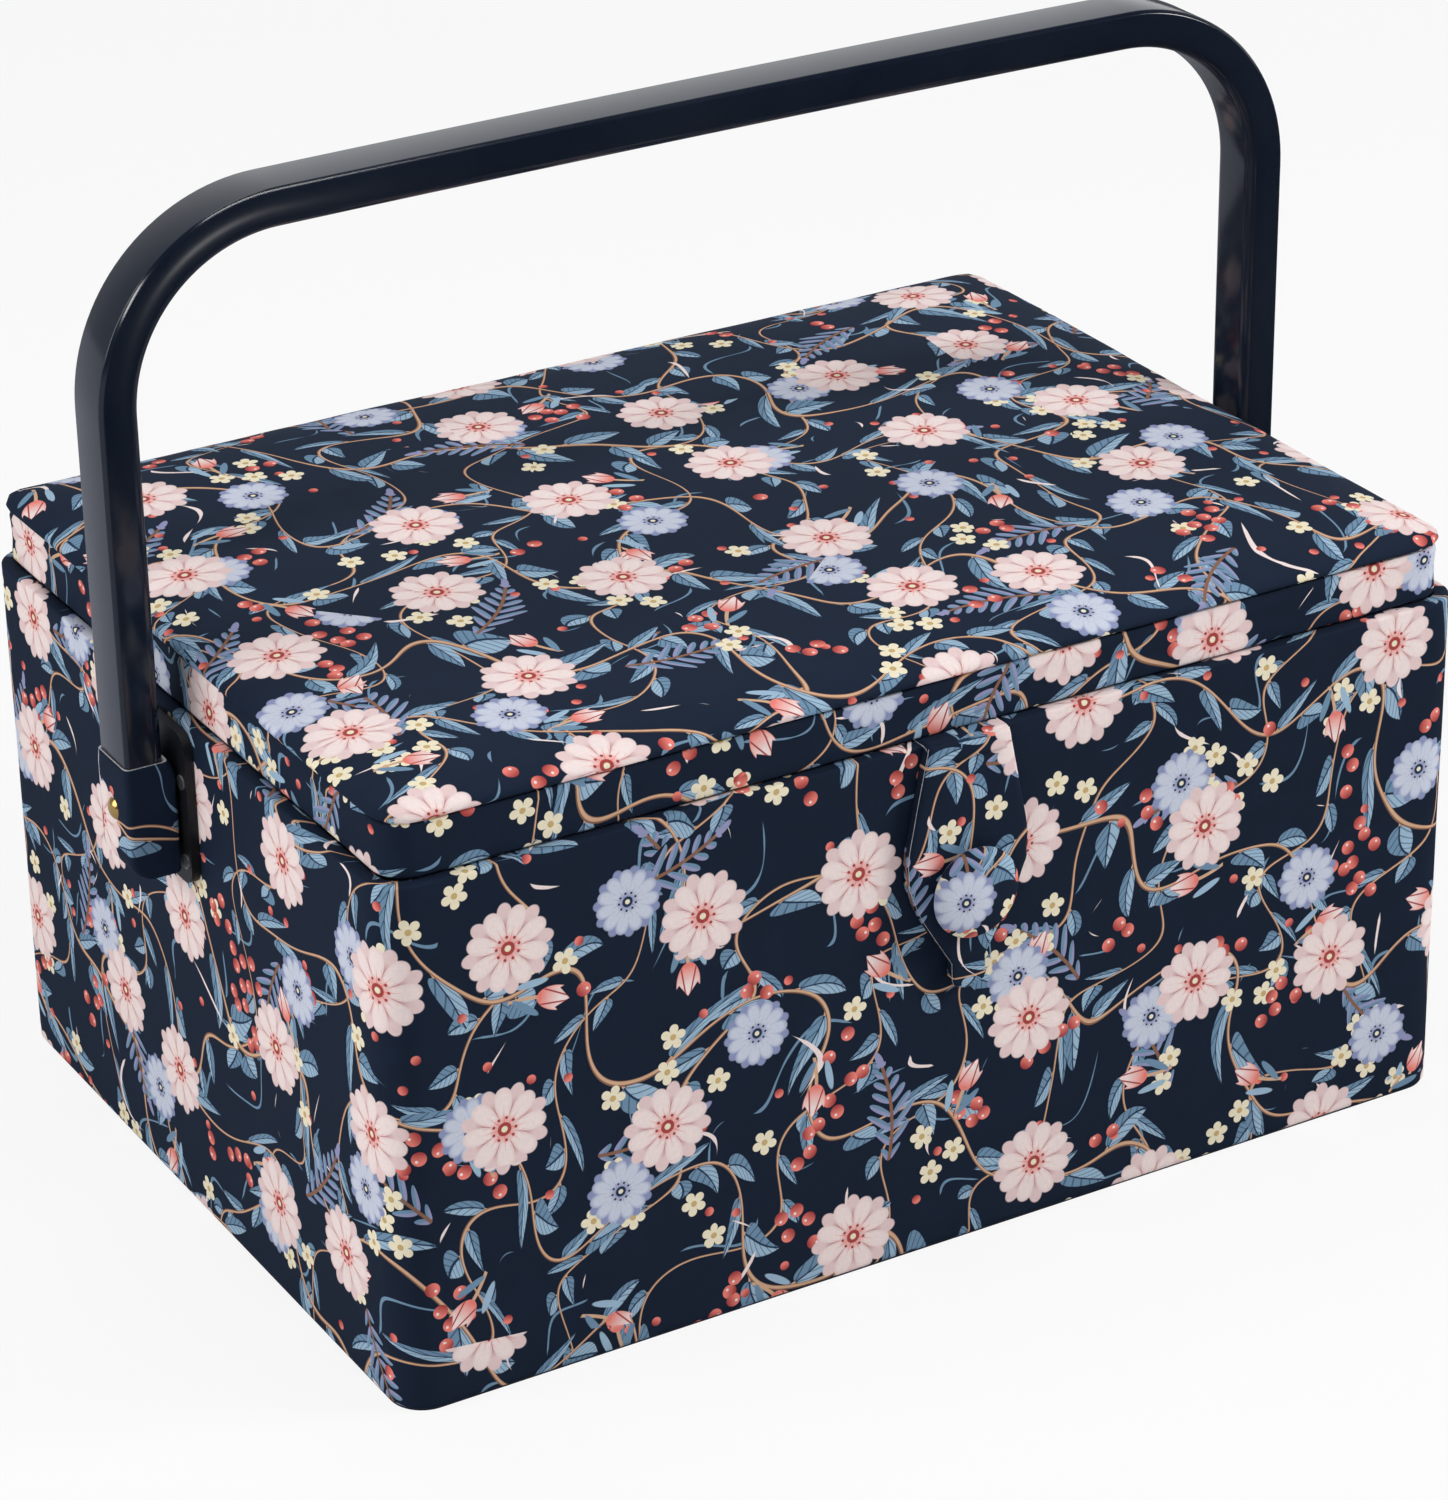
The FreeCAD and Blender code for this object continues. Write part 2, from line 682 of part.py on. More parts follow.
tray_piece = tray_body
for side, sign in SIDES:
    start = inner_x - overrun if sign > 0 else -tray_x - overrun
    notch = rod(
        "thumb_notch_" + side, thumb_radius, tray_wall + 2 * overrun, start, 0, tray_high, TURN_TO_X
    )
    tray_piece = less("tray_notched_" + side, tray_piece, notch)
finish(tray_piece, "tray")

# bail handle: legs, two bends and a gently bowed grip
bar_half = handle_thick / 2
path_x = leg_outer - bar_half
path_corner = handle_corner - bar_half
path_bow = handle_bow - bar_half
path_top = pivot_height + handle_reach - bar_half
bow_centre = path_top - path_bow
bend_centre_x = path_x - path_corner
reach_between = path_bow - path_corner
bend_centre_z = bow_centre + root(reach_between * reach_between - bend_centre_x * bend_centre_x)
handle_bar = new_body("handle_bar")
spine = new_sketch(handle_bar, "handle_spine", "XZ_Plane")
up = FreeCAD.Vector(0, 0, 1)


def flat(x, z):
    return FreeCAD.Vector(number_of(x), number_of(z), 0)


lean = math.atan2(bend_centre_z.number - bow_centre.number, bend_centre_x.number)
right_bend = Part.Circle(flat(bend_centre_x, bend_centre_z), up, path_corner.number)
left_bend = Part.Circle(flat(-bend_centre_x, bend_centre_z), up, path_corner.number)
bow = Part.Circle(flat(0, bow_centre), up, path_bow.number)
spine.addGeometry([
    Part.LineSegment(flat(path_x, leg_low), flat(path_x, bend_centre_z)),
    Part.ArcOfCircle(right_bend, 0, lean),
    Part.ArcOfCircle(bow, lean, math.pi - lean),
    Part.ArcOfCircle(left_bend, math.pi - lean, math.pi),
    Part.LineSegment(flat(-path_x, bend_centre_z), flat(-path_x, leg_low)),
])
for step in range(4):
    spine.addConstraint(Sketcher.Constraint("Tangent", step, 2, step + 1, 1))
spine.addConstraint(Sketcher.Constraint("Vertical", 0))
spine.addConstraint(Sketcher.Constraint("Vertical", 4))
spine.addConstraint(Sketcher.Constraint("Equal", 1, 3))
spine.addConstraint(Sketcher.Constraint("PointOnObject", 2, 3, -2))
datum(spine, "Radius", 1, path_corner)
datum(spine, "Radius", 2, path_bow)
datum(spine, "DistanceY", -1, 1, 2, 3, bow_centre)
datum(spine, "DistanceX", -1, 1, 0, 1, path_x)
datum(spine, "DistanceY", -1, 1, 0, 1, leg_low)
datum(spine, "DistanceX", -1, 1, 4, 2, -path_x)
datum(spine, "DistanceY", -1, 1, 4, 2, leg_low)
section = new_sketch(handle_bar, "handle_section", "XY_Plane", leg_low)
rounded(
    section, leg_inner, leg_outer, -handle_width / 2, handle_width / 2,
    handle_sharp_edge, handle_soft_edge,
)
sweep = handle_bar.newObject("PartDesign::AdditivePipe", "handle_sweep")
sweep.Profile = section
sweep.Spine = (spine, [])
heel_round = sleeve_round - sleeve_skin
handle_piece = handle_bar
for side, sign in SIDES:
    x0, x1 = leg_outer - heel_round, leg_outer + overrun
    x0, x1 = (x0, x1) if sign > 0 else (-x1, -x0)
    deep = handle_width / 2 + overrun
    waste = block("leg_waste_" + side, (x0, -deep, leg_low - overrun), (x1, deep, leg_low + heel_round))
    middle = sign * (leg_outer - heel_round)
    roller = rod("leg_roller_" + side, heel_round, 2 * deep, middle, deep, leg_low + heel_round, TURN_TO_FRONT)
    handle_piece = less("handle_heel_" + side, handle_piece, less("leg_corner_" + side, waste, roller))
finish(less("handle_bored", handle_piece, pivot_drill), "handle")

# printed sleeves over the legs' ends
sleeve_half = handle_width / 2 + sleeve_skin
space_half = handle_width / 2 + glue_line
for side, sign in SIDES:
    outside = heel(
        "sleeve_out_" + side, sign, sleeve_inner, sleeve_outer, sleeve_half, sleeve_low, sleeve_high,
        sleeve_round,
    )
    inside = heel(
        "sleeve_in_" + side, sign, leg_inner - glue_line, leg_outer + glue_line, space_half,
        leg_low - glue_line, sleeve_high + overrun, heel_round + glue_line,
    )
    hollow = less("sleeve_hollow_" + side, outside, inside)
    finish(less("sleeve_bored_" + side, hollow, pivot_drill), "sleeve_" + side)

# lid: boards
lid_frame = (
    -(half_x - lid_inset_side),
    half_x - lid_inset_side,
    -(half_y - lid_inset_front),
    half_y - lid_inset_back,
    lid_radius,
)
crease = lid_low + lid_band
lid_board_low = crease - lid_board_thick
frame_of_boards(
    "lid_rim_", "lid_corner_", lid_frame, lid_low + cloth + glue_line, lid_board_low - glue_line, {}
)
lid_board_plate = new_body("lid_board_plate")
lid_board_outline = new_sketch(lid_board_plate, "lid_board_outline", "XY_Plane", lid_board_low)
rounded(lid_board_outline, *plan(wall_out, lid_frame))
pad(lid_board_plate, lid_board_outline, lid_board_thick)
finish(lid_board_plate, "lid_board")

# lid: printed band, lining
lid_turn_out = wall_in + glue_line
lid_band_cloth = ring("lid_band_cloth", [
    (plan(0, lid_frame), plan(cloth, lid_frame), lid_low, crease - glue_line),
    (plan(0, lid_frame), plan(fold_in, lid_frame), lid_low, lid_low + cloth),
    (plan(lid_turn_out, lid_frame), plan(fold_in, lid_frame), lid_low, lid_low + lid_turn),
])
finish(lid_band_cloth, "lid_band_cover")
lining_roof = lid_board_low - glue_line
lid_lining_cloth = new_body("lid_lining_cloth")
lid_lining_ring = new_sketch(lid_lining_cloth, "lid_lining_ring", "XY_Plane", lid_low + lid_lining_up)
rounded(lid_lining_ring, *plan(lining_out, lid_frame))
rounded(lid_lining_ring, *plan(lining_in, lid_frame))
pad(lid_lining_cloth, lid_lining_ring, lining_roof - lid_low - lid_lining_up)
lid_lining_sheet = new_sketch(lid_lining_cloth, "lid_lining_sheet", "XY_Plane", lining_roof - lining)
rounded(lid_lining_sheet, *plan(lining_out, lid_frame))
pad(lid_lining_cloth, lid_lining_sheet, lining)
finish(lid_lining_cloth, "lid_lining")

# lid: padding and the printed cloth drawn over it
crown_inset_shares = (0.006, -0.010, 0.026, 0.15, 0.45, 1)
crown_rise_shares = (0, 0.2, 0.45, 0.68, 0.9, 1)
crown_round_share = 0.6
crown_base = crease + glue_line
top_outside = pillow(
    "lid_top_outside", lid_frame, crown_base, crown, crown_reach,
    crown_inset_shares, crown_rise_shares, crown_round_share,
)
top_inside = pillow(
    "lid_top_inside", lid_frame, crown_base, crown, crown_reach,
    crown_inset_shares, crown_rise_shares, crown_round_share, cloth + glue_line, cloth, overrun,
)
finish(less("lid_top_shell", top_outside, top_inside), "lid_top_cover")
pad_inset = cloth + 4 * glue_line
lid_stuffing = pillow(
    "lid_stuffing", lid_frame, crown_base, crown, crown_reach,
    crown_inset_shares, crown_rise_shares, crown_round_share, pad_inset, cloth + 2 * glue_line,
)
finish(lid_stuffing, "lid_padding")

# lid: gathered pocket, its elastic, pincushion
pocket_top = lining_roof - lining - glue_line
pocket_low = pocket_top - pocket_depth - pocket_cloth
pocket_left = half_x - pocket_side_margin
pocket_right = half_x - cushion_margin - cushion_length - pocket_cushion_gap
pocket_mouth = pocket_front_margin - half_y
pocket_back = half_y - pocket_back_margin
pocket_outside = block(
    "pocket_outside", (-pocket_left, pocket_mouth, pocket_low), (pocket_right, pocket_back, pocket_top)
)
pocket_room = block(
    "pocket_room",
    (pocket_cloth - pocket_left, pocket_mouth - overrun, pocket_low + pocket_cloth),
    (pocket_right - pocket_cloth, pocket_back - pocket_cloth, pocket_top + overrun),
)
finish(less("pocket_cloth_panel", pocket_outside, pocket_room), "lid_pocket")
elastic_top = pocket_low - glue_line
elastic = block(
    "mouth_elastic",
    (-pocket_left, pocket_mouth, elastic_top - elastic_thick),
    (pocket_right, pocket_mouth + elastic_width, elastic_top),
)
finish(elastic, "pocket_elastic")

cushion_frame = (
    half_x - cushion_margin - cushion_length,
    half_x - cushion_margin,
    -cushion_width / 2,
    cushion_width / 2,
    cushion_radius,
)
cushion_inset_shares = (0.12, 0, 0.1, 0.42, 1)
cushion_rise_shares = (0, 0.3, 0.64, 0.9, 1)
cushion_round_share = 0.3
pincushion = pillow(
    "pincushion_pad", cushion_frame, pocket_top, -cushion_crown, cushion_reach,
    cushion_inset_shares, cushion_rise_shares, cushion_round_share,
)
finish(pincushion, "pincushion")

# tape that carries the tab, glued under the lid's front
tape_top = lid_low - glue_line
tape_half = tab_neck / 2
tape_back = lid_inset_front + tape_in - half_y
tape = block(
    "tab_tape_ribbon",
    (tab_place - tape_half, -(half_y + tape_out), tape_top - tape_thick),
    (tab_place + tape_half, tape_back, tape_top),
)
finish(tape, "tab_tape")

# tab: two cloths with an interlining between them
tab_face = half_y + tab_stand
core_face = tab_face + tab_cloth + glue_line
front_face = core_face + tab_core + glue_line
button_face = front_face + tab_cloth + glue_line
tab_roof = body_height + tab_top


def tab_layer(name, face, thickness, inset):
    """One layer of the tab, parallel to the box's front."""
    body = new_body(name)
    sketch = new_sketch(body, name + "_outline", "XZ_Plane", face)
    neck = tab_neck / 2 - inset
    wide = tab_wide / 2 - inset
    tip = tab_tip / 2 - inset
    shoulder = body_height - tab_shoulder_drop
    taper = body_height - tab_taper_drop
    end = body_height - tab_drop + inset
    top = tab_roof - inset
    half_outline = [(neck, top), (wide, shoulder), (tip, taper), (tip, end)]
    corners = [(tab_place - x, z) for x, z in half_outline]
    corners += [(tab_place + x, z) for x, z in reversed(half_outline)]
    polygon(sketch, corners)
    layer = pad(body, sketch, thickness)

    def across(low, high):
        def test(middle, along):
            return abs(along.y) > abs(along.x) + abs(along.z) and low.number < middle.z < high.number
        return test

    margin = tab_shoulder_round / 2
    layer = round_edges(
        body, layer, name + "_shoulders", tab_shoulder_round, across(shoulder - margin, shoulder + margin)
    )
    tip_round = tab_tip_round - inset / 2
    round_edges(body, layer, name + "_tip", tip_round, across(end - tab_tip_round, end + tab_tip_round))
    return body


finish(tab_layer("tab_back_layer", tab_face, tab_cloth, 0), "tab_back_cloth")
core_layer = tab_layer("tab_core_layer", core_face, tab_core, tab_core_inset)
core_hole = rod(
    "tab_core_hole", magnet_radius + magnet_slack, tab_core + 2 * overrun,
    tab_place, overrun - core_face, button_height, TURN_TO_FRONT,
)
finish(less("tab_core_bored", core_layer, core_hole), "tab_interlining")
finish(tab_layer("tab_front_layer", front_face, tab_cloth, 0), "tab_front_cloth")
tab_disc = rod(
    "tab_magnet_disc", magnet_radius, magnet_thick, tab_place, -core_face, button_height, TURN_TO_FRONT
)
finish(tab_disc, "tab_magnet")

# covered button: cloth over a domed shell, closed by a plate
button_ball = (button_radius * button_radius + button_rise * button_rise) / (2 * button_rise)
button_centre = button_ball - button_rise - button_face


def cap(name, radius, past):
    """Part of a ball in front of the button's seat."""
    whole = ball(name + "_ball", radius, tab_place, button_centre, button_height)
    front = block(
        name + "_front",
        (tab_place - button_ball, -button_face - button_ball, button_height - button_ball),
        (tab_place + button_ball, past - button_face, button_height + button_ball),
    )
    return common(name, whole, front)


cloth_under = button_ball - button_cloth
shell_over = cloth_under - glue_line
shell_under = shell_over - button_shell
button_cover = less("button_cover", cap("button_cap", button_ball, 0), cap("button_cap_in", cloth_under, overrun))
finish(button_cover, "button_cloth")
button_dome = less("button_dome", cap("shell_cap", shell_over, 0), cap("shell_cap_in", shell_under, overrun))
finish(button_dome, "button_shell")
button_plate = rod(
    "button_plate", button_radius - button_back_inset, button_back,
    tab_place, -button_face, button_height, TURN_TO_FRONT,
)
finish(button_plate, "button_back")

# check every object and write every piece
doc.recompute()
for thing in doc.Objects:
    if "Invalid" in thing.State or "Error" in thing.State:
        raise RuntimeError(thing.Name + " failed: " + str(thing.State))
for thing in nodes:
    shape = thing.Shape
    if shape.isNull() or not shape.isValid() or not shape.Solids:
        raise RuntimeError(thing.Label + " has no sound shape")
for thing in nodes:
    thing.Shape.exportStep("parts/" + thing.Label + ".step")
    box = thing.Shape.optimalBoundingBox(False, False)
    print(
        "%-20s solids %d volume %10.1f  x %8.2f %8.2f  y %8.2f %8.2f  z %7.2f %7.2f"
        % (
            thing.Label, len(thing.Shape.Solids), thing.Shape.Volume,
            box.XMin, box.XMax, box.YMin, box.YMax, box.ZMin, box.ZMax,
        )
    )
print("pieces:", len(nodes))
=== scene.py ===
import bpy, bmesh, math
from functools import reduce
from mathutils import Matrix, Vector, noise


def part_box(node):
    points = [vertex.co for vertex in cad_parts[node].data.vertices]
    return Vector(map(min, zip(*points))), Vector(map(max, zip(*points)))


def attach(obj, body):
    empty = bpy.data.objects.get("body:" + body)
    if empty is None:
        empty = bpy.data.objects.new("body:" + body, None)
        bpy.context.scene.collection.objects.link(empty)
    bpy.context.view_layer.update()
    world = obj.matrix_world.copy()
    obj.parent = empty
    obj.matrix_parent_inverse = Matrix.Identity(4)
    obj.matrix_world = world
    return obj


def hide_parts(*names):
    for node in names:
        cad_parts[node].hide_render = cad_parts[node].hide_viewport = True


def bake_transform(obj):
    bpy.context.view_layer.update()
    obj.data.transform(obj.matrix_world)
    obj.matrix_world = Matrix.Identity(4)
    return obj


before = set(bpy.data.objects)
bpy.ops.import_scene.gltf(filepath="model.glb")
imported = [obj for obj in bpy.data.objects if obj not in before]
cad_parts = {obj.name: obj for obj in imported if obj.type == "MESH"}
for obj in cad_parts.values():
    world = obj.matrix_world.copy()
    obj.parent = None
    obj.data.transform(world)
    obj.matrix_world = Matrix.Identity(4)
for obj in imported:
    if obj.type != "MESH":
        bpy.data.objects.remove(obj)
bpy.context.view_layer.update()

scene = bpy.context.scene


def rgb(red, green, blue):  # colour as seen on a screen, 0 to 255
    def straight(c):
        c = c / 255
        return c / 12.92 if c <= 0.04045 else ((c + 0.055) / 1.055) ** 2.4
    return (straight(red), straight(green), straight(blue), 1)


view = {
    "place": (-0.61326, -1.06697, 0.70010),
    "yaw": 29.945,  # from straight back towards the right
    "pitch": 26.193,  # downwards
    "roll": -0.953,
    "focal": 5041.9 / 1448,  # in widths of the picture
}


def setCamera():
    yaw, pitch, roll = (math.radians(view[k]) for k in ("yaw", "pitch", "roll"))
    ahead = Vector((math.sin(yaw) * math.cos(pitch), math.cos(yaw) * math.cos(pitch), -math.sin(pitch)))
    right = Vector((math.cos(yaw), -math.sin(yaw), 0))
    camera = bpy.data.objects.new("camera", bpy.data.cameras.new("camera"))
    scene.collection.objects.link(camera)
    camera.data.sensor_fit = "HORIZONTAL"
    camera.data.sensor_width = 36
    camera.data.lens = 36 * view["focal"]
    camera.data.clip_start = 0.05
    camera.data.clip_end = 20
    turn = Matrix((right, right.cross(ahead), -ahead)).transposed() @ Matrix.Rotation(roll, 3, "Z")
    camera.matrix_world = Matrix.Translation(view["place"]) @ turn.to_4x4()
    scene.camera = camera


setCamera()
print("camera set")


class Wire:  # the output of a shader node, in sums like a number
    def __init__(self, graph, socket):
        self.graph = graph
        self.socket = socket

    def out(self, name):
        return Wire(self.graph, self.socket.node.outputs[name])

    __add__ = __radd__ = lambda a, b: a.graph.math("ADD", a, b)
    __sub__ = lambda a, b: a.graph.math("SUBTRACT", a, b)
    __rsub__ = lambda a, b: a.graph.math("SUBTRACT", b, a)
    __mul__ = __rmul__ = lambda a, b: a.graph.math("MULTIPLY", a, b)
    __truediv__ = lambda a, b: a.graph.math("DIVIDE", a, b)
    __neg__ = lambda a: a.graph.math("MULTIPLY", a, -1)
    __abs__ = lambda a: a.graph.math("ABSOLUTE", a)
    __gt__ = lambda a, b: a.graph.math("GREATER_THAN", a, b)
    __lt__ = lambda a, b: a.graph.math("LESS_THAN", a, b)


class Graph:
    def __init__(self, block):  # a material or the world
        self.block = block
        self.block.use_nodes = True
        self.tree = self.block.node_tree
        self.tree.nodes.clear()

    def add(self, kind, settings=None, sockets=None, output=0):
        node = self.tree.nodes.new(kind)
        for name, value in (settings or {}).items():
            setattr(node, name, value)
        for name, value in (sockets or {}).items():
            if isinstance(value, Wire):
                self.tree.links.new(value.socket, node.inputs[name])
            else:
                node.inputs[name].default_value = value
        return Wire(self, node.outputs[output]) if len(node.outputs) else node

    def math(self, operation, *values, clamp=False):
        settings = {"operation": operation, "use_clamp": clamp}
        return self.add("ShaderNodeMath", settings, dict(enumerate(values)))

    def vector(self, operation, *values, output=0):
        return self.add("ShaderNodeVectorMath", {"operation": operation}, dict(enumerate(values)), output)

    def mix(self, share, below, above):
        return self.add("ShaderNodeMix", {"data_type": "RGBA"}, {0: share, 6: below, 7: above}, 2)

    def least(self, *values):
        return reduce(lambda a, b: self.math("MINIMUM", a, b), values)

    def most(self, *values):
        return reduce(lambda a, b: self.math("MAXIMUM", a, b), values)

    def span(self, x, y):  # length of the two together
        return self.math("SQRT", x * x + y * y)

    def comb(self, value):  # -0.5 to 0.5 within each whole step
        return self.math("FRACT", value) - 0.5

    def paint(self, under, over, inside, here=None):  # over lies where inside is above 0
        share = self.math("MULTIPLY_ADD", inside, 1 / printStyle["soft"], 0.5, clamp=True)
        return self.mix(share if here is None else share * here, under, over)

    def rise(self, value, low, high):  # 0 at low, 1 at high
        return self.math("MULTIPLY_ADD", value, 1 / (high - low), -low / (high - low), clamp=True)

    def split(self, vector):
        parts = self.add("ShaderNodeSeparateXYZ", {}, {0: vector})
        return parts, parts.out("Y"), parts.out("Z")

    def coordinates(self, kind="Object"):
        return self.add("ShaderNodeTexCoord", {}, {}, kind)

    def placed(self, place, turn, shift=(0, 0)):
        return self.add("ShaderNodeMapping", {}, {"Vector": place, "Location": (*shift, 0), "Rotation": (0, 0, turn)})

    def grain(self, vector, scale, detail=2.0, rough=0.5):
        sockets = {"Vector": vector, "Scale": scale, "Detail": detail, "Roughness": rough}
        return self.add("ShaderNodeTexNoise", {}, sockets)

    def bump(self, height, strength, distance):
        return self.add("ShaderNodeBump", {}, {"Height": height, "Strength": strength, "Distance": distance})

    def finish(self, colour, rough, normal=None, **fixed):
        sockets = {"Base Color": colour, "Roughness": rough}
        for name, value in fixed.items():
            sockets[name.replace("_", " ")] = value
        if normal is not None:
            sockets["Normal"] = normal
        shader = self.add("ShaderNodeBsdfPrincipled", {}, sockets)
        self.add("ShaderNodeOutputMaterial", {}, {"Surface": shader})
        return self.block


printStyle = {
    "ground": rgb(22, 36, 57),
    "groundDark": rgb(18, 30, 48),
    "blush": rgb(245, 228, 225),
    "blushShade": rgb(234, 207, 206),
    "coral": rgb(238, 132, 120),
    "coralDark": rgb(172, 68, 66),
    "cream": rgb(242, 232, 204),
    "creamShade": rgb(206, 176, 120),
    "tan": rgb(214, 174, 142),
    "tanDark": rgb(140, 100, 80),
    "leaf": rgb(160, 189, 212),
    "leafDark": rgb(114, 146, 173),
    "leafLine": rgb(30, 52, 80),
    "mist": rgb(150, 152, 190),
    "ice": rgb(205, 211, 226),
    "iceShade": rgb(142, 152, 190),
    # size, cell, turn, shift, spread, share kept; the last three grow in bunches: scale, least noise
    "rosette": (12.6, 49, 0.1, (20, 22), 0.36, 0.90),
    "iceRosette": (9.6, 57, 0.85, (-13, 31), 0.40, 0.80),
    "tulip": (11.0, 47, 0.2, (15, 9), 0.36, 0.85),
    "sprig": (17.0, 52, 0.95, (11, -17), 0.34, 0.62),
    "florets": (3.6, 9.8, 0.5, (2, 5), 0.034, 0.607),
    "berries": (2.0, 5.6, 1.1, (5, 1), 0.040, 0.648),
    "seeds": (1.3, 11.0, 0.4, (3, 8), 0.060, 0.600),
    # turn, shift, row distance, sway, wave, leaf distance, length and width, stem, share of leaves
    "thinVine": (2.15, (3, 9), 37, 7.5, 52, 13.5, 11.5, 2.3, 0.45, 0.68),
    "strongVine": (0.55, (-6, 4), 43, 10, 66, 18.0, 15.0, 3.1, 0.65, 0.72),
    # turn, distance, sway, wave, width, least noise that shows it
    "blueCurls": (2.5, 27, 5, 31, 0.45, 0.50),
    "blushCurls": (1.2, 33, 7, 37, 0.62, 0.56),
    "drift": (0.020, 24),  # scale and reach of the layout's unevenness
    "weave": (1.7, 0.28),  # scale, and how much longer the threads are
    "soft": 0.14,  # the width of a painted edge, in millimetres
}


def motif(g, place, form, bunched=False):  # one in each cell of a loose grid, turned and left out by chance
    size, cell, turn, shift, spread, share = form
    at = g.placed(place, turn, shift)
    spots = g.add("ShaderNodeTexVoronoi", {"voronoi_dimensions": "2D"}, {
        "Vector": at, "Scale": 1 / cell, "Randomness": 0.5 if bunched else spread,
    }, "Position")
    luck = g.add("ShaderNodeTexWhiteNoise", {"noise_dimensions": "2D"}, {"Vector": spots})
    local = g.add("ShaderNodeVectorRotate", {"rotation_type": "Z_AXIS"}, {
        "Vector": g.vector("SUBTRACT", at, spots), "Angle": luck * 6.2832,
    })
    x, y, _ = g.split(local)
    here = g.grain(spots, spread, 1.0) > share if bunched else g.split(luck.out("Color"))[1] < share
    radius = g.vector("LENGTH", local, output="Value")
    return size, local, x, y, radius, here


def petalRing(g, radius, angle, count, turn, start, reach, half):
    part = g.math("MULTIPLY_ADD", angle, count / (math.tau), turn)
    lean = g.comb(part) * (math.tau / count)
    along = radius * g.math("COSINE", lean)
    across = radius * g.math("SINE", lean)
    middle = start + reach
    wide = g.math("MULTIPLY_ADD", along, 0.62 * half / middle, 0.38 * half)
    return (1 - g.span((along - middle) / reach, across / wide)) * half, along, across


def rosette(g, under, place, form, petals, shades):
    pale, shade, heart, dark = shades
    size, _, x, y, radius, here = motif(g, place, form)
    angle = g.math("ARCTAN2", y, x)
    back, backAlong, _ = petalRing(g, radius, angle, petals, 0.5, 0.16 * size, 0.42 * size, 0.155 * size)
    front, along, across = petalRing(g, radius, angle, petals, 0.0, 0.06 * size, 0.43 * size, 0.178 * size)
    colour = g.paint(under, g.mix(g.rise(backAlong, 0.3 * size, 0.7 * size), dark, shade), back, here)
    petal = g.mix(g.rise(along, 0.10 * size, 0.34 * size), heart, pale)
    vein = abs(g.comb(across * (8 / size) + 0.5)) < 0.085
    petal = g.mix(vein * (1 - g.rise(along, 0.24 * size, 0.52 * size)) * 0.8, petal, heart)
    petal = g.mix((1 - g.rise(front, 0.0, 0.05 * size)) * 0.65, petal, shade)
    colour = g.paint(colour, petal, front, here)
    colour = g.paint(colour, dark, 0.150 * size - radius, here)
    dots = g.comb(angle * (9 / (math.tau))) * (math.tau * 0.25 * size / 9)
    colour = g.paint(colour, dark, 0.034 * size - g.span(dots, radius - 0.25 * size), here)
    return g.paint(colour, printStyle["cream"], 0.07 * size - radius, here)


def tulip(g, under, place, form):
    s = printStyle
    size, _, x, y, _, here = motif(g, place, form)
    side = abs(x)
    stem = g.least(0.045 * size - abs(x - y * y * (0.2 / size)), -0.1 * size - y, y + 1.0 * size)
    colour = g.paint(under, s["tan"], stem, here)
    bladeX = (side - 0.26 * size - (y + 0.62 * size) * 0.35) / (0.10 * size)
    blade = 1 - g.span(bladeX, (y + 0.52 * size) / (0.38 * size))
    colour = g.paint(colour, g.mix(x > 0, s["leaf"], s["leafDark"]), blade * (0.10 * size), here)
    up = g.rise(y, -0.30 * size, 0.56 * size)
    belly = g.math("SQRT", up * (1.22 - up)) * (0.50 * size)
    crown = abs(g.comb(x * (2.1 / size) + 0.5))
    body = g.least(belly - side, 0.55 * size - crown * (0.62 * size) - y, y + 0.30 * size)
    petal = g.mix(g.rise(y, -0.22 * size, 0.30 * size), s["coral"], s["blush"])
    seam = abs(side - (1 - up) * (0.17 * size) - 0.05 * size)
    petal = g.paint(petal, s["coralDark"], 0.020 * size - seam)
    petal = g.mix((1 - g.rise(body, 0.0, 0.05 * size)) * 0.6, petal, s["coral"])
    return g.paint(colour, petal, body, here)


def sprig(g, under, place, form, leaf, dark):
    s = printStyle
    size, _, x, y, _, here = motif(g, place, form)
    bent = y - x * x * (0.16 / size)
    side = abs(bent)
    reach = size - abs(x)
    stem = g.least(0.028 * size - side, reach - 0.12 * size)
    colour = g.paint(under, s["tanDark"], stem, here)
    pitch = 0.235 * size
    offset = g.comb((x - side * 0.85) / pitch) * pitch
    part = side / ((reach + 0.10 * size) * 0.40)
    wide = g.math("SQRT", g.most(part * (1 - part), 0)) * (0.165 * size) - 0.12
    blade = g.least(wide - abs(offset), reach - 0.14 * size, side - 0.03 * size)
    colour = g.paint(colour, g.mix(offset > 0, leaf, dark), blade, here)
    tip = 1 - g.span((x - 0.92 * size) / (0.15 * size), bent / (0.062 * size))
    return g.paint(colour, leaf, tip * (0.062 * size), here)


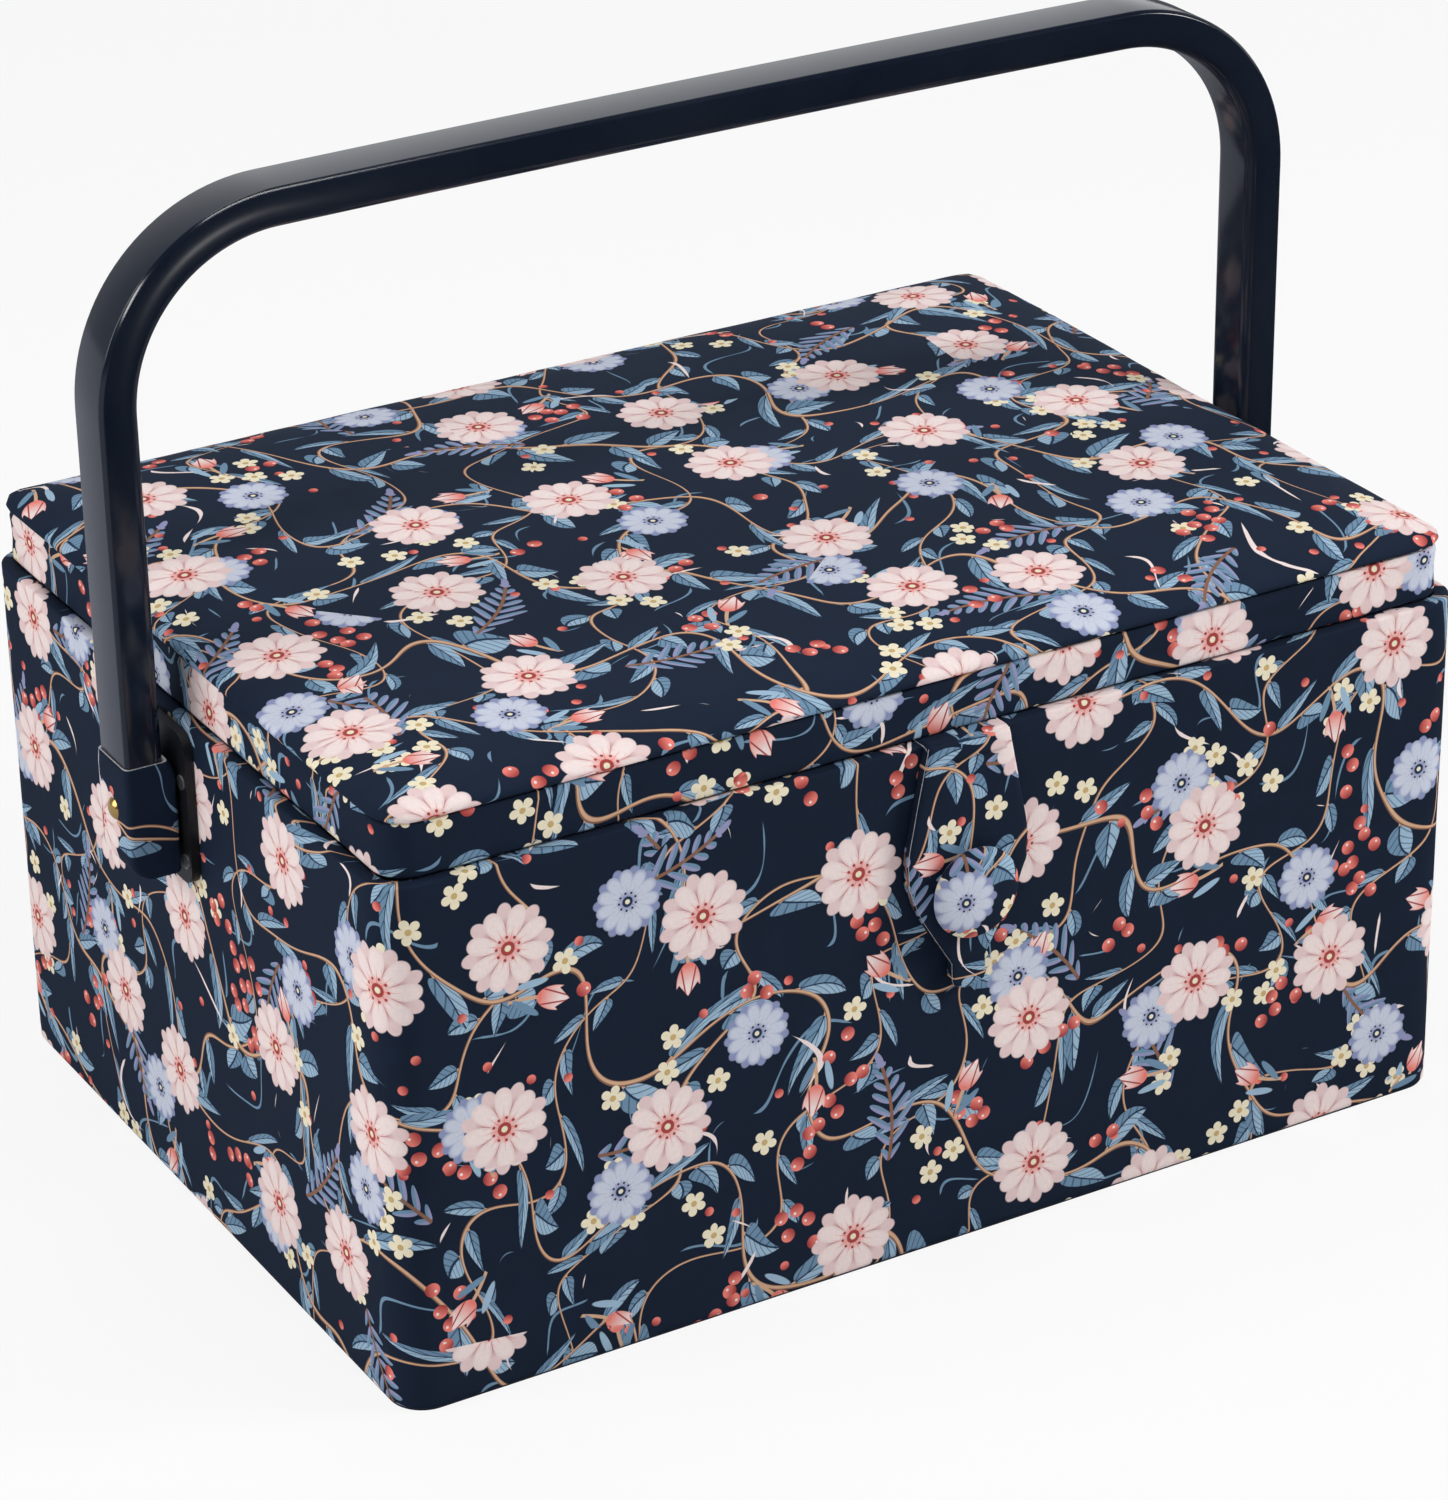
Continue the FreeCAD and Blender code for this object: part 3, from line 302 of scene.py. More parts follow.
def vine(g, under, place, form):
    turn, shift, pitch, sway, wave, leafPitch, leafLong, leafWide, stem, keep = form
    s = printStyle
    x, y, _ = g.split(g.placed(place, turn, shift))
    bent = y + g.math("SINE", x * (math.tau / wave)) * sway
    bent = bent + g.math("SINE", x * (math.tau / (wave * 1.72)) + 1.3) * (sway * 0.7)
    row = g.math("FLOOR", bent / pitch)
    across = bent - (row + 0.5) * pitch
    side = abs(across)
    step = (x + row * (leafPitch * 0.382) + (across > 0) * (leafPitch * 0.5)) / leafPitch
    number = g.math("FLOOR", step)
    seat = g.add("ShaderNodeCombineXYZ", {}, {0: number, 1: row, 2: (across > 0) * 1.0})
    luck = g.add("ShaderNodeTexWhiteNoise", {"noise_dimensions": "3D"}, {"Vector": seat}, "Value")
    base = (step - number - 0.14) * leafPitch
    lean = math.radians(50)
    along = base * math.cos(lean) + side * math.sin(lean)
    off = side * math.cos(lean) - base * math.sin(lean) + along * along * (0.22 / leafLong)
    grown = (luck * 0.45 + 0.72) * leafLong
    part = g.math("MULTIPLY", along / grown - 0.10, 1.11, clamp=True)
    wide = g.math("SQRT", part) * (1 - part) * (2.6 * leafWide) - 0.1
    blade = wide - abs(off)
    tone = g.mix(off > 0, s["leaf"], s["leafDark"])
    rib = abs(g.comb((along - abs(off) * 1.2) * (6.0 / leafLong))) < 0.10
    tone = g.mix(rib * 0.6, tone, s["leafLine"])
    tone = g.paint(tone, s["leafLine"], 0.22 - abs(off))
    grows = luck < keep
    stalk = g.least(0.30 - abs(off), along, 0.30 * leafLong - along)
    colour = g.paint(under, s["tan"], stalk, grows)
    colour = g.paint(colour, tone, blade, grows)
    colour = g.paint(colour, s["tanDark"], stem - side)
    return g.paint(colour, s["tan"], stem * 0.58 - abs(across - stem * 0.2))


def curls(g, under, place, form, tone):
    turn, pitch, sway, wave, width, least = form
    at = g.placed(place, turn)
    x, y, _ = g.split(at)
    bent = y + g.math("SINE", x * (math.tau / wave)) * sway
    line = g.comb(bent / pitch) * pitch
    shown = g.rise(g.grain(at, 0.05, 1.0), least, least + 0.08)
    return g.paint(under, tone, (width + 0.2) * shown - 0.2 - abs(line))


def florets(g, under, place, form, petal, eye):
    size, _, x, y, radius, here = motif(g, place, form, True)
    lobe = abs(g.math("COSINE", g.math("ARCTAN2", y, x) * 2.5))
    outline = (g.math("SQRT", lobe) * 0.62 + 0.38) * size
    return g.paint(g.paint(under, petal, outline - radius, here), eye, 0.24 * size - radius, here)


def berries(g, under, place, form, gleam):
    s = printStyle
    size, local, _, y, radius, here = motif(g, place, form, True)
    tone = g.mix(g.rise(y, -0.8 * size, 0.5 * size), s["coralDark"], s["coral"])
    colour = g.paint(under, tone, size - radius, here)
    if not gleam:
        return colour
    spark = g.vector("LENGTH", g.vector("SUBTRACT", local, (0.3 * size, 0.38 * size, 0)), output="Value")
    return g.paint(colour, s["blush"], 0.20 * size - spark, here)


def printedCotton(name):
    g = Graph(bpy.data.materials.new(name))
    s = printStyle
    at = g.vector("MULTIPLY", g.add("ShaderNodeUVMap", {"uv_map": "cloth"}), (1000, 1000, 1000))
    (scale, reach), (fine, longer) = s["drift"], s["weave"]
    drift = g.add("ShaderNodeTexNoise", {"noise_dimensions": "2D"}, {
        "Vector": at, "Scale": scale, "Detail": 0.0,
    }, "Color")
    drift = g.vector("MULTIPLY", g.vector("SUBTRACT", drift, (0.5, 0.5, 0.5)), (reach, reach, 0))
    loose = g.vector("ADD", at, drift)
    colour = g.mix(g.grain(at, 0.09, 3.0), s["groundDark"], s["ground"])
    colour = curls(g, colour, loose, s["blueCurls"], s["leafDark"])
    colour = vine(g, colour, loose, s["thinVine"])
    colour = vine(g, colour, loose, s["strongVine"])
    colour = curls(g, colour, loose, s["blushCurls"], s["blush"])
    colour = sprig(g, colour, at, s["sprig"], s["mist"], s["leafDark"])
    colour = berries(g, colour, at, s["seeds"], False)
    colour = florets(g, colour, at, s["florets"], s["cream"], s["creamShade"])
    colour = berries(g, colour, at, s["berries"], True)
    colour = tulip(g, colour, at, s["tulip"])
    colour = rosette(g, colour, at, s["iceRosette"], 11, (s["ice"], s["iceShade"], s["mist"], s["leafLine"]))
    colour = rosette(g, colour, at, s["rosette"], 8, (s["blush"], s["blushShade"], s["coral"], s["coralDark"]))
    warps = g.grain(g.vector("MULTIPLY", at, (1.0, longer, 1)), fine, 2.0, 0.6)
    wefts = g.grain(g.vector("MULTIPLY", at, (longer, 1.0, 1)), fine, 2.0, 0.6)
    weave = warps + wefts
    colour = g.mix((weave - 0.75) * 0.14, colour, rgb(20, 24, 34))
    normal = g.bump(weave, 0.10, 0.0004)
    return g.finish(colour, 0.82, normal, Specular_IOR_Level=0.13)


def plainCloth(name, colour, shade, scale=900, strength=0.25):
    g = Graph(bpy.data.materials.new(name))
    at = g.coordinates()
    weave = g.grain(at, scale, 2.0, 0.6)
    tone = g.mix(g.rise(weave, 0.3, 0.7), shade, colour)
    tone = g.mix(g.rise(g.grain(at, 22, 2.0), 0.35, 0.75) * 0.25, tone, shade)
    return g.finish(tone, 0.85, g.bump(weave, strength, 0.0003), Specular_IOR_Level=0.25, Sheen_Weight=0.1)


def plastic(name, colour, rough, ior, grain=None):  # scale and strength of its grain
    g = Graph(bpy.data.materials.new(name))
    at = g.coordinates()
    smears = g.grain(at, 14, 3.0, 0.6)
    roughness = g.math("MULTIPLY_ADD", smears, 0.10, rough - 0.05)
    tone = g.mix(g.rise(smears, 0.3, 0.75) * 0.12, colour, rgb(70, 78, 92))
    normal = g.bump(g.grain(at, grain[0], 3.0, 0.6), grain[1], 0.0002) if grain else None
    return g.finish(tone, roughness, normal, IOR=ior)


def metal(name, colour, rough):
    g = Graph(bpy.data.materials.new(name))
    at = g.coordinates()
    fine = g.grain(at, 600, 2.0)
    roughness = g.math("MULTIPLY_ADD", fine, 0.18, rough - 0.09)
    dark = tuple(c * 0.55 for c in colour[:3]) + (1,)
    dull = g.mix(g.rise(g.grain(at, 90, 2.0), 0.45, 0.8) * 0.35, colour, dark)
    return g.finish(dull, roughness, g.bump(fine, 0.08, 0.0002), Metallic=1.0)


materials = {
    "print": printedCotton("printed cotton"),
    "base": plainCloth("base cloth", rgb(30, 38, 58), rgb(20, 26, 42)),
    "rawEdge": plainCloth("cut cloth edge", rgb(232, 228, 226), rgb(150, 150, 158), 1400, 0.5),
    "lining": plainCloth("lining cotton", rgb(236, 222, 218), rgb(214, 196, 192)),
    "elastic": plainCloth("elastic", rgb(238, 230, 222), rgb(196, 186, 180), 700, 0.5),
    "velvet": plainCloth("pincushion cloth", rgb(222, 112, 98), rgb(178, 74, 66), 700, 0.35),
    "board": plainCloth("greyboard", rgb(150, 144, 134), rgb(112, 106, 98), 500, 0.2),
    "tray": plastic("tray plastic", rgb(222, 224, 228), 0.42, 1.46, (500, 0.10)),
    "handle": plastic("handle plastic", rgb(15, 23, 37), 0.15, 1.45),
    "bracket": plastic("black lacquer", rgb(14, 14, 16), 0.5, 1.35, (400, 0.06)),
    "brass": metal("brass", rgb(196, 160, 96), 0.24),
    "steel": metal("bright steel", rgb(214, 214, 216), 0.4),
}
print("materials made")


studio = {
    "ambient": 0.15,
    "white": 0.86,
    "floorGleam": (0.02, 0.66),  # seen in shiny pieces: in front on the right, behind on the left
    "skyGleam": 1.15,
    "lamps": (  # place, width and height, power
        ("rightLamp", (1.75, -1.05, 1.10), (0.7, 0.7), 31.0),
        ("leftLamp", (-1.9, 0.35, 1.0), (1.3, 1.3), 19.5),
        ("topLamp", (0.0, 0.55, 2.3), (1.0, 1.0), 9.8),
        ("lowStrip", (-1.16, -0.70, 0.90), (0.17, 0.38), 3.9),
        ("highStrip", (0.05, -0.57, 1.50), (0.86, 0.10), 4.4),
        ("sparkle", (0.0911, -0.540, 0.0565), (0.022, 0.010), 0.022),
    ),
    "aims": {"sparkle": (-0.1445, -0.0082, 0.2716)},  # the others face the middle of the box
}


def rays(g):  # seen straight by the camera, and seen in shiny pieces
    path = g.add("ShaderNodeLightPath")
    seen = g.math("ADD", path.out("Is Camera Ray"), path.out("Is Transmission Ray"), clamp=True)
    return seen, path.out("Is Glossy Ray")


def makeStudio():
    scene.world = bpy.data.worlds.new("studio")
    g = Graph(scene.world)
    seen, mirrored = rays(g)
    x, y, _ = g.split(g.coordinates("Generated"))
    gloss = g.rise(y, -0.25, 0.55) * (g.rise(x, -0.5, 0.35) * 0.75 + 0.25) * studio["skyGleam"]
    soft = (1 - g.rise(-y, 0.2, 0.9) * 0.3) * studio["ambient"]
    strength = g.most(seen, g.math("MULTIPLY_ADD", mirrored, gloss - soft, soft))
    tint = g.mix(seen, (0.95, 0.97, 1.0, 1), (1, 1, 1, 1))
    light = g.add("ShaderNodeBackground", {}, {"Color": tint, "Strength": strength})
    g.add("ShaderNodeOutputWorld", {}, {"Surface": light})

    for name, place, size, power in studio["lamps"]:
        light = bpy.data.lights.new(name, "AREA")
        light.shape = "RECTANGLE"
        light.size, light.size_y = size
        light.energy = power
        lamp = bpy.data.objects.new(name, light)
        scene.collection.objects.link(lamp)
        lamp.location = place
        aim = Vector(studio["aims"].get(name, (0, 0, 0.12)))
        lamp.rotation_euler = (aim - Vector(place)).to_track_quat("-Z", "Y").to_euler()

    bpy.ops.mesh.primitive_plane_add(size=14, location=(0, 0, 0))
    floor = bpy.context.object
    floor.name = "floor"
    g = Graph(bpy.data.materials.new("floor paper"))
    seen, mirrored = rays(g)
    paper = g.add("ShaderNodeBsdfDiffuse", {}, {"Color": (0.80, 0.80, 0.80, 1)})
    glow = g.add("ShaderNodeEmission", {}, {"Color": (1, 1, 1, 1)})
    shown = g.add("ShaderNodeMixShader", {}, {0: seen * studio["white"], 1: paper, 2: glow})
    x, y, _ = g.split(g.coordinates())
    low, high = studio["floorGleam"]
    gleam = g.mix(g.rise(y * 0.7 - x, -0.35, 0.45), (low, low, low, 1), (high * 0.92, high * 0.96, high * 1.08, 1))
    gloss = g.add("ShaderNodeEmission", {}, {"Color": gleam})
    shown = g.add("ShaderNodeMixShader", {}, {0: mirrored, 1: shown, 2: gloss})
    g.add("ShaderNodeOutputMaterial", {}, {"Surface": shown})
    floor.data.materials.append(g.block)


makeStudio()
print("studio set")


def gridPoints(rows, columns, spot):  # spot is given the shares across and along the cloth
    return [spot(i / columns, j / rows) for j in range(rows + 1) for i in range(columns + 1)]


def twoLayers(rows, columns, spot):  # spot is also told whether it is on the second layer
    return [point for layer in (0, 1) for point in gridPoints(rows, columns, lambda u, v: spot(u, v, layer))]


def between(low, high, share):
    return low + (high - low) * share


def gridFaces(rows, columns, first=0, flip=False):
    wide = columns + 1
    starts = [first + j * wide + i for j in range(rows) for i in range(columns)]
    faces = [(a, a + 1, a + wide + 1, a + wide) for a in starts]
    return [face[::-1] for face in faces] if flip else faces


def gridRim(rows, columns, first=0):  # the corners along the edge of a grid, once round
    wide = columns + 1
    return ([first + i for i in range(columns)]
            + [first + j * wide + columns for j in range(rows)]
            + [first + rows * wide + i for i in range(columns, 0, -1)]
            + [first + j * wide for j in range(rows, 0, -1)])


def ringFaces(first, second, flip=False):
    faces = []
    for k in range(len(first)):
        m = (k + 1) % len(first)
        a, b, c, d = first[k], first[m], second[m], second[k]
        faces.append((a, d, c, b) if flip else (a, b, c, d))
    return faces


def tubeFaces(rings, count):  # rings of that many corners, one above the other
    faces = []
    for start in range(0, (rings - 1) * count, count):
        faces += ringFaces(range(start, start + count), range(start + count, start + 2 * count))
    return faces


def tubeFlats(runs, levels):  # the same squares laid flat, cut open at the start of the ring
    return [((u0, v0), (u1, v0), (u1, v1), (u0, v1))
            for v0, v1 in zip(levels, levels[1:]) for u0, u1 in zip(runs, runs[1:])]


def laidFlat(faces, spot):
    return [tuple(spot(k) for k in face) for face in faces]


def buildMesh(name, verts, faces, uvs, slots, faceSlots=None):
    mesh = bpy.data.meshes.new(name)
    mesh.from_pydata([tuple(v) for v in verts], [], faces)
    layer = mesh.uv_layers.new(name="cloth")
    for loop, uv in zip(layer.data, (uv for face in uvs for uv in face)):
        loop.uv = uv
    for slot in slots:
        mesh.materials.append(materials[slot])
    if faceSlots:
        mesh.polygons.foreach_set("material_index", faceSlots)
    mesh.polygons.foreach_set("use_smooth", [True] * len(faces))
    mesh.validate()
    mesh.update()
    piece = bpy.data.objects.new(name, mesh)
    scene.collection.objects.link(piece)
    return piece


def thicken(piece, thickness):  # inwards, with the second material along the cut edge
    solid = piece.modifiers.new("cloth thickness", "SOLIDIFY")
    solid.thickness = thickness
    solid.offset = -1
    solid.material_offset_rim = 1
    bpy.context.view_layer.objects.active = piece
    bpy.ops.object.modifier_apply(modifier=solid.name)


def softness(place, size, scale, seed):  # small unevenness of cloth
    return size * noise.noise(Vector(place) * scale + Vector((seed, seed * 0.7, -seed)))


def roundedOff(radius, along):  # how far a rounded end stands back, that far along
    return radius - math.sqrt(max(0.0, radius ** 2 - max(0.0, radius - along) ** 2))


def roundedOutline(west, east, south, north, radius, bendSteps=10, sideSteps=None):
    points = []  # place, outward direction, run along the outline
    run = 0.0
    corners = [
        ((east - radius, north - radius), 0), ((west + radius, north - radius), 90),
        ((west + radius, south + radius), 180), ((east - radius, south + radius), 270),
    ]

    def straight(place, out):  # from the last point up to this place
        last = points[-1][0]
        gap = (place - last).length
        count = sideSteps or max(1, round(gap / 0.005))
        for k in range(1, count):
            points.append((last.lerp(place, k / count), out, run + gap * k / count))
        return run + gap

    for (cx, cy), start in corners:
        for i in range(bendSteps + 1):
            angle = math.radians(start + 90 * i / bendSteps)
            out = Vector((math.cos(angle), math.sin(angle)))
            place = Vector((cx, cy)) + out * radius
            if i:
                run += radius * math.radians(90 / bendSteps)
            elif points:
                run = straight(place, out)
            points.append((place, out, run))
    return points, straight(*points[0][:2])


def ringCloth(name, limits, profile, wobble, seed, shift):
    outline, total = roundedOutline(*limits)
    verts = []
    for inset, height in profile:
        for place, out, _ in outline:
            point = place - out * inset
            point += out * wobble * noise.noise(Vector((point.x, point.y, height)) * 28 + Vector((seed, 0, 0)))
            verts.append((point.x, point.y, height))
    lengths = [shift[1]]
    for before, after in zip(profile, profile[1:]):
        lengths.append(lengths[-1] + math.dist(before, after))
    runs = [run + shift[0] for run in [point[2] for point in outline] + [total]]
    faces = tubeFaces(len(profile), len(outline))
    return buildMesh(name, verts, faces, tubeFlats(runs, lengths), ["print"])


bodyCover = {
    "radius": 0.010,
    "wobble": 0.00022,
    # inwards and up
    "foot": ((0.0040, 0.0008), (0.0014, 0.0004), (0.0006, 0.0005), (0.0001, 0.0010), (0.0, 0.0022)),
    "levels": 26,
    "rimRoll": 0.0007,
    "rollSteps": 4,
    "wall": 0.0044,
    "turnDown": (0.006, 0.0130),
}


def makeBodyCover():
    p = bodyCover
    low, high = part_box("side_cover")
    limits = (low[0], high[0], low[1], high[1], p["radius"])
    top, roll, wall, steps = high[2], p["rimRoll"], p["wall"], p["levels"]
    foot = p["foot"][-1][1]
    profile = [*p["foot"]]
    profile += [(0.0, foot + (top - roll - foot) * i / steps) for i in range(1, steps)]
    turns = [math.radians(90 * i / p["rollSteps"]) for i in range(p["rollSteps"] + 1)]
    profile += [(roll * (1 - math.cos(turn)), top - roll * (1 - math.sin(turn))) for turn in turns]
    profile += [(wall - roll * (1 - math.sin(turn)), top - roll * (1 - math.cos(turn))) for turn in turns[1:]]
    profile += [(wall, top - down) for down in p["turnDown"]]
    piece = ringCloth("body_cloth", limits, profile, p["wobble"], 3.1, (0.0, 0.0))
    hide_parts("side_cover")
    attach(piece, "box")


makeBodyCover()
print("body cover made")


lidCover = {
    "radius": 0.009,
    "wobble": 0.00018,
    "drop": 0.0004,  # narrows the joint over the body
    "under": ((0.0044, 0.006), (0.0044, 0.001), (0.0041, 0.0002), (0.0034, 0.0), (0.0009, 0.0),
              (0.0003, 0.0002), (0.0001, 0.0005), (0.0, 0.0012)),  # inwards and up from the joint
    "hollow": 0.00035,
    "margin": 0.0016,
    "crease": ((0.0003, -0.0006), (0.0004, 0.0), (0.0006, 0.0002), (0.0012, 0.0003), (0.0036, 0.0003)),
    "skin": 0.0007,  # the padded top, past its board
    "cut": 0.0016,
    "crown": 0.0078,
    "crownReach": 0.0140,
    "sway": 0.00045,
    "dimple": 0.00022,
    "overhang": 0.0006,
    "lip": 0.0011,
    "grid": 0.0040,
}


def makeLidBand():
    p = lidCover
    low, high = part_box("lid_band_cover")
    limits = (low[0], high[0], low[1], high[1], p["radius"])
    bottom, top, margin, steps = low[2] - p["drop"], high[2], p["margin"], 5
    profile = [(inset, bottom + up) for inset, up in p["under"]]
    for t in (i / steps for i in range(1, steps + 1)):
        profile.append((p["hollow"] * math.sin(math.pi * t), bottom + margin + (top - bottom - 2 * margin) * t))
    profile += [(inset, top + up) for inset, up in p["crease"]]
    piece = ringCloth("lid_band_cloth", limits, profile, p["wobble"], 8.4, (0.013, 0.180))
    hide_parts("lid_band_cover")
    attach(piece, "lid")


def makeLidTop():
    p = lidCover
    low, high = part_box("lid_board")
    base, cut, bulge, skin = high[2], p["cut"], p["overhang"], p["skin"]
    west, east, south, north = low[0] - skin, high[0] + skin, low[1] - skin, high[1] + skin
    w, e, s, n = west + cut, east - cut, south + cut, north - cut
    radius = p["radius"] - cut
    columns, rows = round((e - w) / p["grid"]), round((n - s) / p["grid"])

    def rounded(x, y):  # squares of the grid bent into the rounded corners
        dx = max(0.0, w + radius - x, x - (e - radius)) / radius
        dy = max(0.0, s + radius - y, y - (n - radius)) / radius
        if dx == 0 or dy == 0:
            return x, y
        cx = w + radius if x < 0 else e - radius
        cy = s + radius if y < 0 else n - radius
        return (cx + math.copysign(dx * math.sqrt(1 - dy * dy / 2) * radius, x),
                cy + math.copysign(dy * math.sqrt(1 - dx * dx / 2) * radius, y))

    def crown(x, y):  # steep near the edge, nearly flat in the middle
        dx, dy = max(1e-4, min(x - west, east - x)), max(1e-4, min(y - south, north - y))
        reach = (dx ** -3 + dy ** -3) ** (-1 / 3)
        return p["crown"] * (0.333 + 0.667 * (1 - math.exp(-((reach / p["crownReach"]) ** 0.75))))

    def spot(u, v):
        x, y = rounded(between(w, e, u), between(s, n, v))
        edge = min(x - w, e - x, y - s, n - y)
        z = base + crown(x, y) + softness((x, y, 0), p["sway"], 17, 2.0)
        return Vector((x, y, z + softness((x, y, 0), p["dimple"], 62, 5.0) * math.exp(-edge / 0.016)))

    verts = gridPoints(rows, columns, spot)
    flats = [(v.x + 0.031, v.y + 0.062) for v in verts]
    faces = gridFaces(rows, columns)
    border = gridRim(rows, columns)
    outward = []
    for k in range(len(border)):
        way = verts[border[(k + 1) % len(border)]] - verts[border[k - 1]]
        outward.append(Vector((way.y, -way.x, 0)).normalized())
    # outwards, and down from the crown's edge or up from the board
    roll = [(0.0010, -0.0004), (cut + bulge * 0.4, -0.0010), (cut + bulge, -0.0018), (cut + bulge * 0.8, -0.0024),
            (cut - 0.0003, 0.0007), (cut - 0.0016, 0.0004), (cut - 0.0036, 0.0003)]
    last = border
    for number, (out, drop) in enumerate(roll, 1):
        ring = range(len(verts), len(verts) + len(border))
        for way, index in zip(outward, border):
            top, flat, run = verts[index], flats[index], 0.0010 * number
            z = max(top.z + drop, base + p["lip"]) if drop < 0 else base + drop
            verts.append(Vector((top.x + way.x * out, top.y + way.y * out, z)))
            flats.append((flat[0] + way.x * run, flat[1] + way.y * run))
        faces += ringFaces(last, ring, flip=True)
        last = ring
    piece = buildMesh("lid_top_cushion", verts, faces, laidFlat(faces, lambda k: flats[k]), ["print"])
    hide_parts("lid_top_cover", "lid_padding")
    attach(piece, "lid")


makeLidBand()
makeLidTop()
print("lid covers made")


hingeStyle = {
    "rows": 22, "columns": 60, "thickness": 0.0005, "wobble": 0.00010,
    "joint": 0.1474, "tuck": 0.0004, "tuckHalf": 0.0022,  # pressed in along the joint
}


def makeHingeStrip():
    p = hingeStyle
    low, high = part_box("hinge_strip")

    def spot(u, v):
        x, z = between(low[0], high[0], u), between(low[2], high[2], v)
        tuck = p["tuck"] * math.exp(-(((z - p["joint"]) / p["tuckHalf"]) ** 2))
        return x, high[1] - tuck + softness((x, 0, z), p["wobble"], 40, 9.0), z

    verts = gridPoints(p["rows"], p["columns"], spot)
    faces = [(b, a, d, c) for a, b, c, d in gridFaces(p["rows"], p["columns"])]
    uvs = laidFlat(faces, lambda k: (-verts[k][0] + 0.4, verts[k][2] + 0.01))
    piece = buildMesh("hinge_cloth", verts, faces, uvs, ["print", "rawEdge"])
    thicken(piece, p["thickness"])
    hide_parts("hinge_strip")
    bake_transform(piece)


makeHingeStrip()
print("hinge made")


tabStyle = {
    "rows": 56, "columns": 24, "wobble": 0.00020, "shift": (0.205, 0.222),
    "neck": 0.0120, "wide": 0.0197, "tip": 0.0050,  # half widths
    "shoulder": 0.038, "taper": 0.0625, "length": 0.070,  # from the joint down
    "tipRound": 0.0028, "shoulderRound": 0.006, "shoulderCut": 0.0019,
    "bevel": 0.0004, "bevelWide": 0.0009, "raw": 0.0003, "edge": 0.0022,
    "lift": 0.0008, "liftFrom": 0.050,  # the tip stands off a little under the button
}


def tabHalfWidth(drop):
    p = tabStyle
    if drop <= p["shoulder"]:
        width = between(p["neck"], p["wide"], drop / p["shoulder"])
    else:
        share = min(1.0, (drop - p["shoulder"]) / (p["taper"] - p["shoulder"]))
        width = between(p["wide"], p["tip"], share)
    near = (drop - p["shoulder"]) / p["shoulderRound"]
    return width - p["shoulderCut"] * math.exp(-near * near) - roundedOff(p["tipRound"], p["length"] - drop)


def makeTab():
    p = tabStyle
    low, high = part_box("tab_front_cloth")
    front, back = low[1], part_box("tab_back_cloth")[1][1]
    middle = (low[0] + high[0]) / 2
    rows, columns, bevel, shift = p["rows"], p["columns"], p["bevel"], p["shift"]

    def spot(u, v, behind):
        drop, t = p["length"] * v, -1 + 2 * u
        half = tabHalfWidth(drop) - (0 if behind else bevel)
        x, z = middle + t * half, high[2] - drop + (0 if behind else bevel * v)
        lift = p["lift"] * max(0.0, (drop - p["liftFrom"]) / (p["length"] - p["liftFrom"])) ** 2
        if behind:
            return x, back - lift, z
        sunk = bevel * 0.45 * math.exp(-(1 - abs(t)) * half / p["bevelWide"])
        return x, front + sunk + softness((x, 0, z), p["wobble"], 70, 1.0) - lift, z

    verts = twoLayers(rows, columns, spot)
    second = len(verts) // 2
    faces = gridFaces(rows, columns, flip=True) + gridFaces(rows, columns, second)
    uvs = laidFlat(faces, lambda k: (verts[k][0] + shift[0], verts[k][2] + shift[1]))

    rims = [gridRim(rows, columns), gridRim(rows, columns, second)]
    near, far = ([rim[0]] + rim[:0:-1] for rim in rims)
    loops = [near]
    for depth, share in ((bevel + 0.00012, 0.9), (bevel + p["raw"], 1.0), (p["edge"], 1.0)):
        loops.append(range(len(verts), len(verts) + len(near)))
        for a, b in zip(near, far):
            point = Vector(verts[a]).lerp(Vector(verts[b]), share)
            verts.append((point.x, verts[a][1] + depth, point.z))
    loops.append(far)

    def wrapped(k):  # the print goes on round the edge
        x, y, z = verts[k]
        return x + shift[0] - (y - front) * (1 if x < middle else -1), z + shift[1]

    slotIndex = [0] * len(faces)
    for number, (first, last) in enumerate(zip(loops, loops[1:])):
        edge = ringFaces(first, last, flip=True)
        faces += edge
        uvs += laidFlat(edge, wrapped)
        slotIndex += [1 if number == 1 and k < len(near) - columns else 0 for k in range(len(near))]
    piece = buildMesh("tab_cloth", verts, faces, uvs, ["print", "rawEdge"], slotIndex)
    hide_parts("tab_front_cloth", "tab_back_cloth", "tab_interlining")
    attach(piece, "tab")


neckStyle = {
    "columns": 14, "more": 0.0002, "thickness": 0.0004, "curl": (0.0003, 0.0002),
    "inside": ((-0.1115, 0.14746), (-0.1150, 0.14746), (-0.1172, 0.14756)),  # depth and height
    "bend": (-0.1178, 0.14476), "bendRadius": 0.0028, "bendSteps": 8,
    "outside": ((-0.1206, 0.1432), (-0.12055, 0.1420)),
}


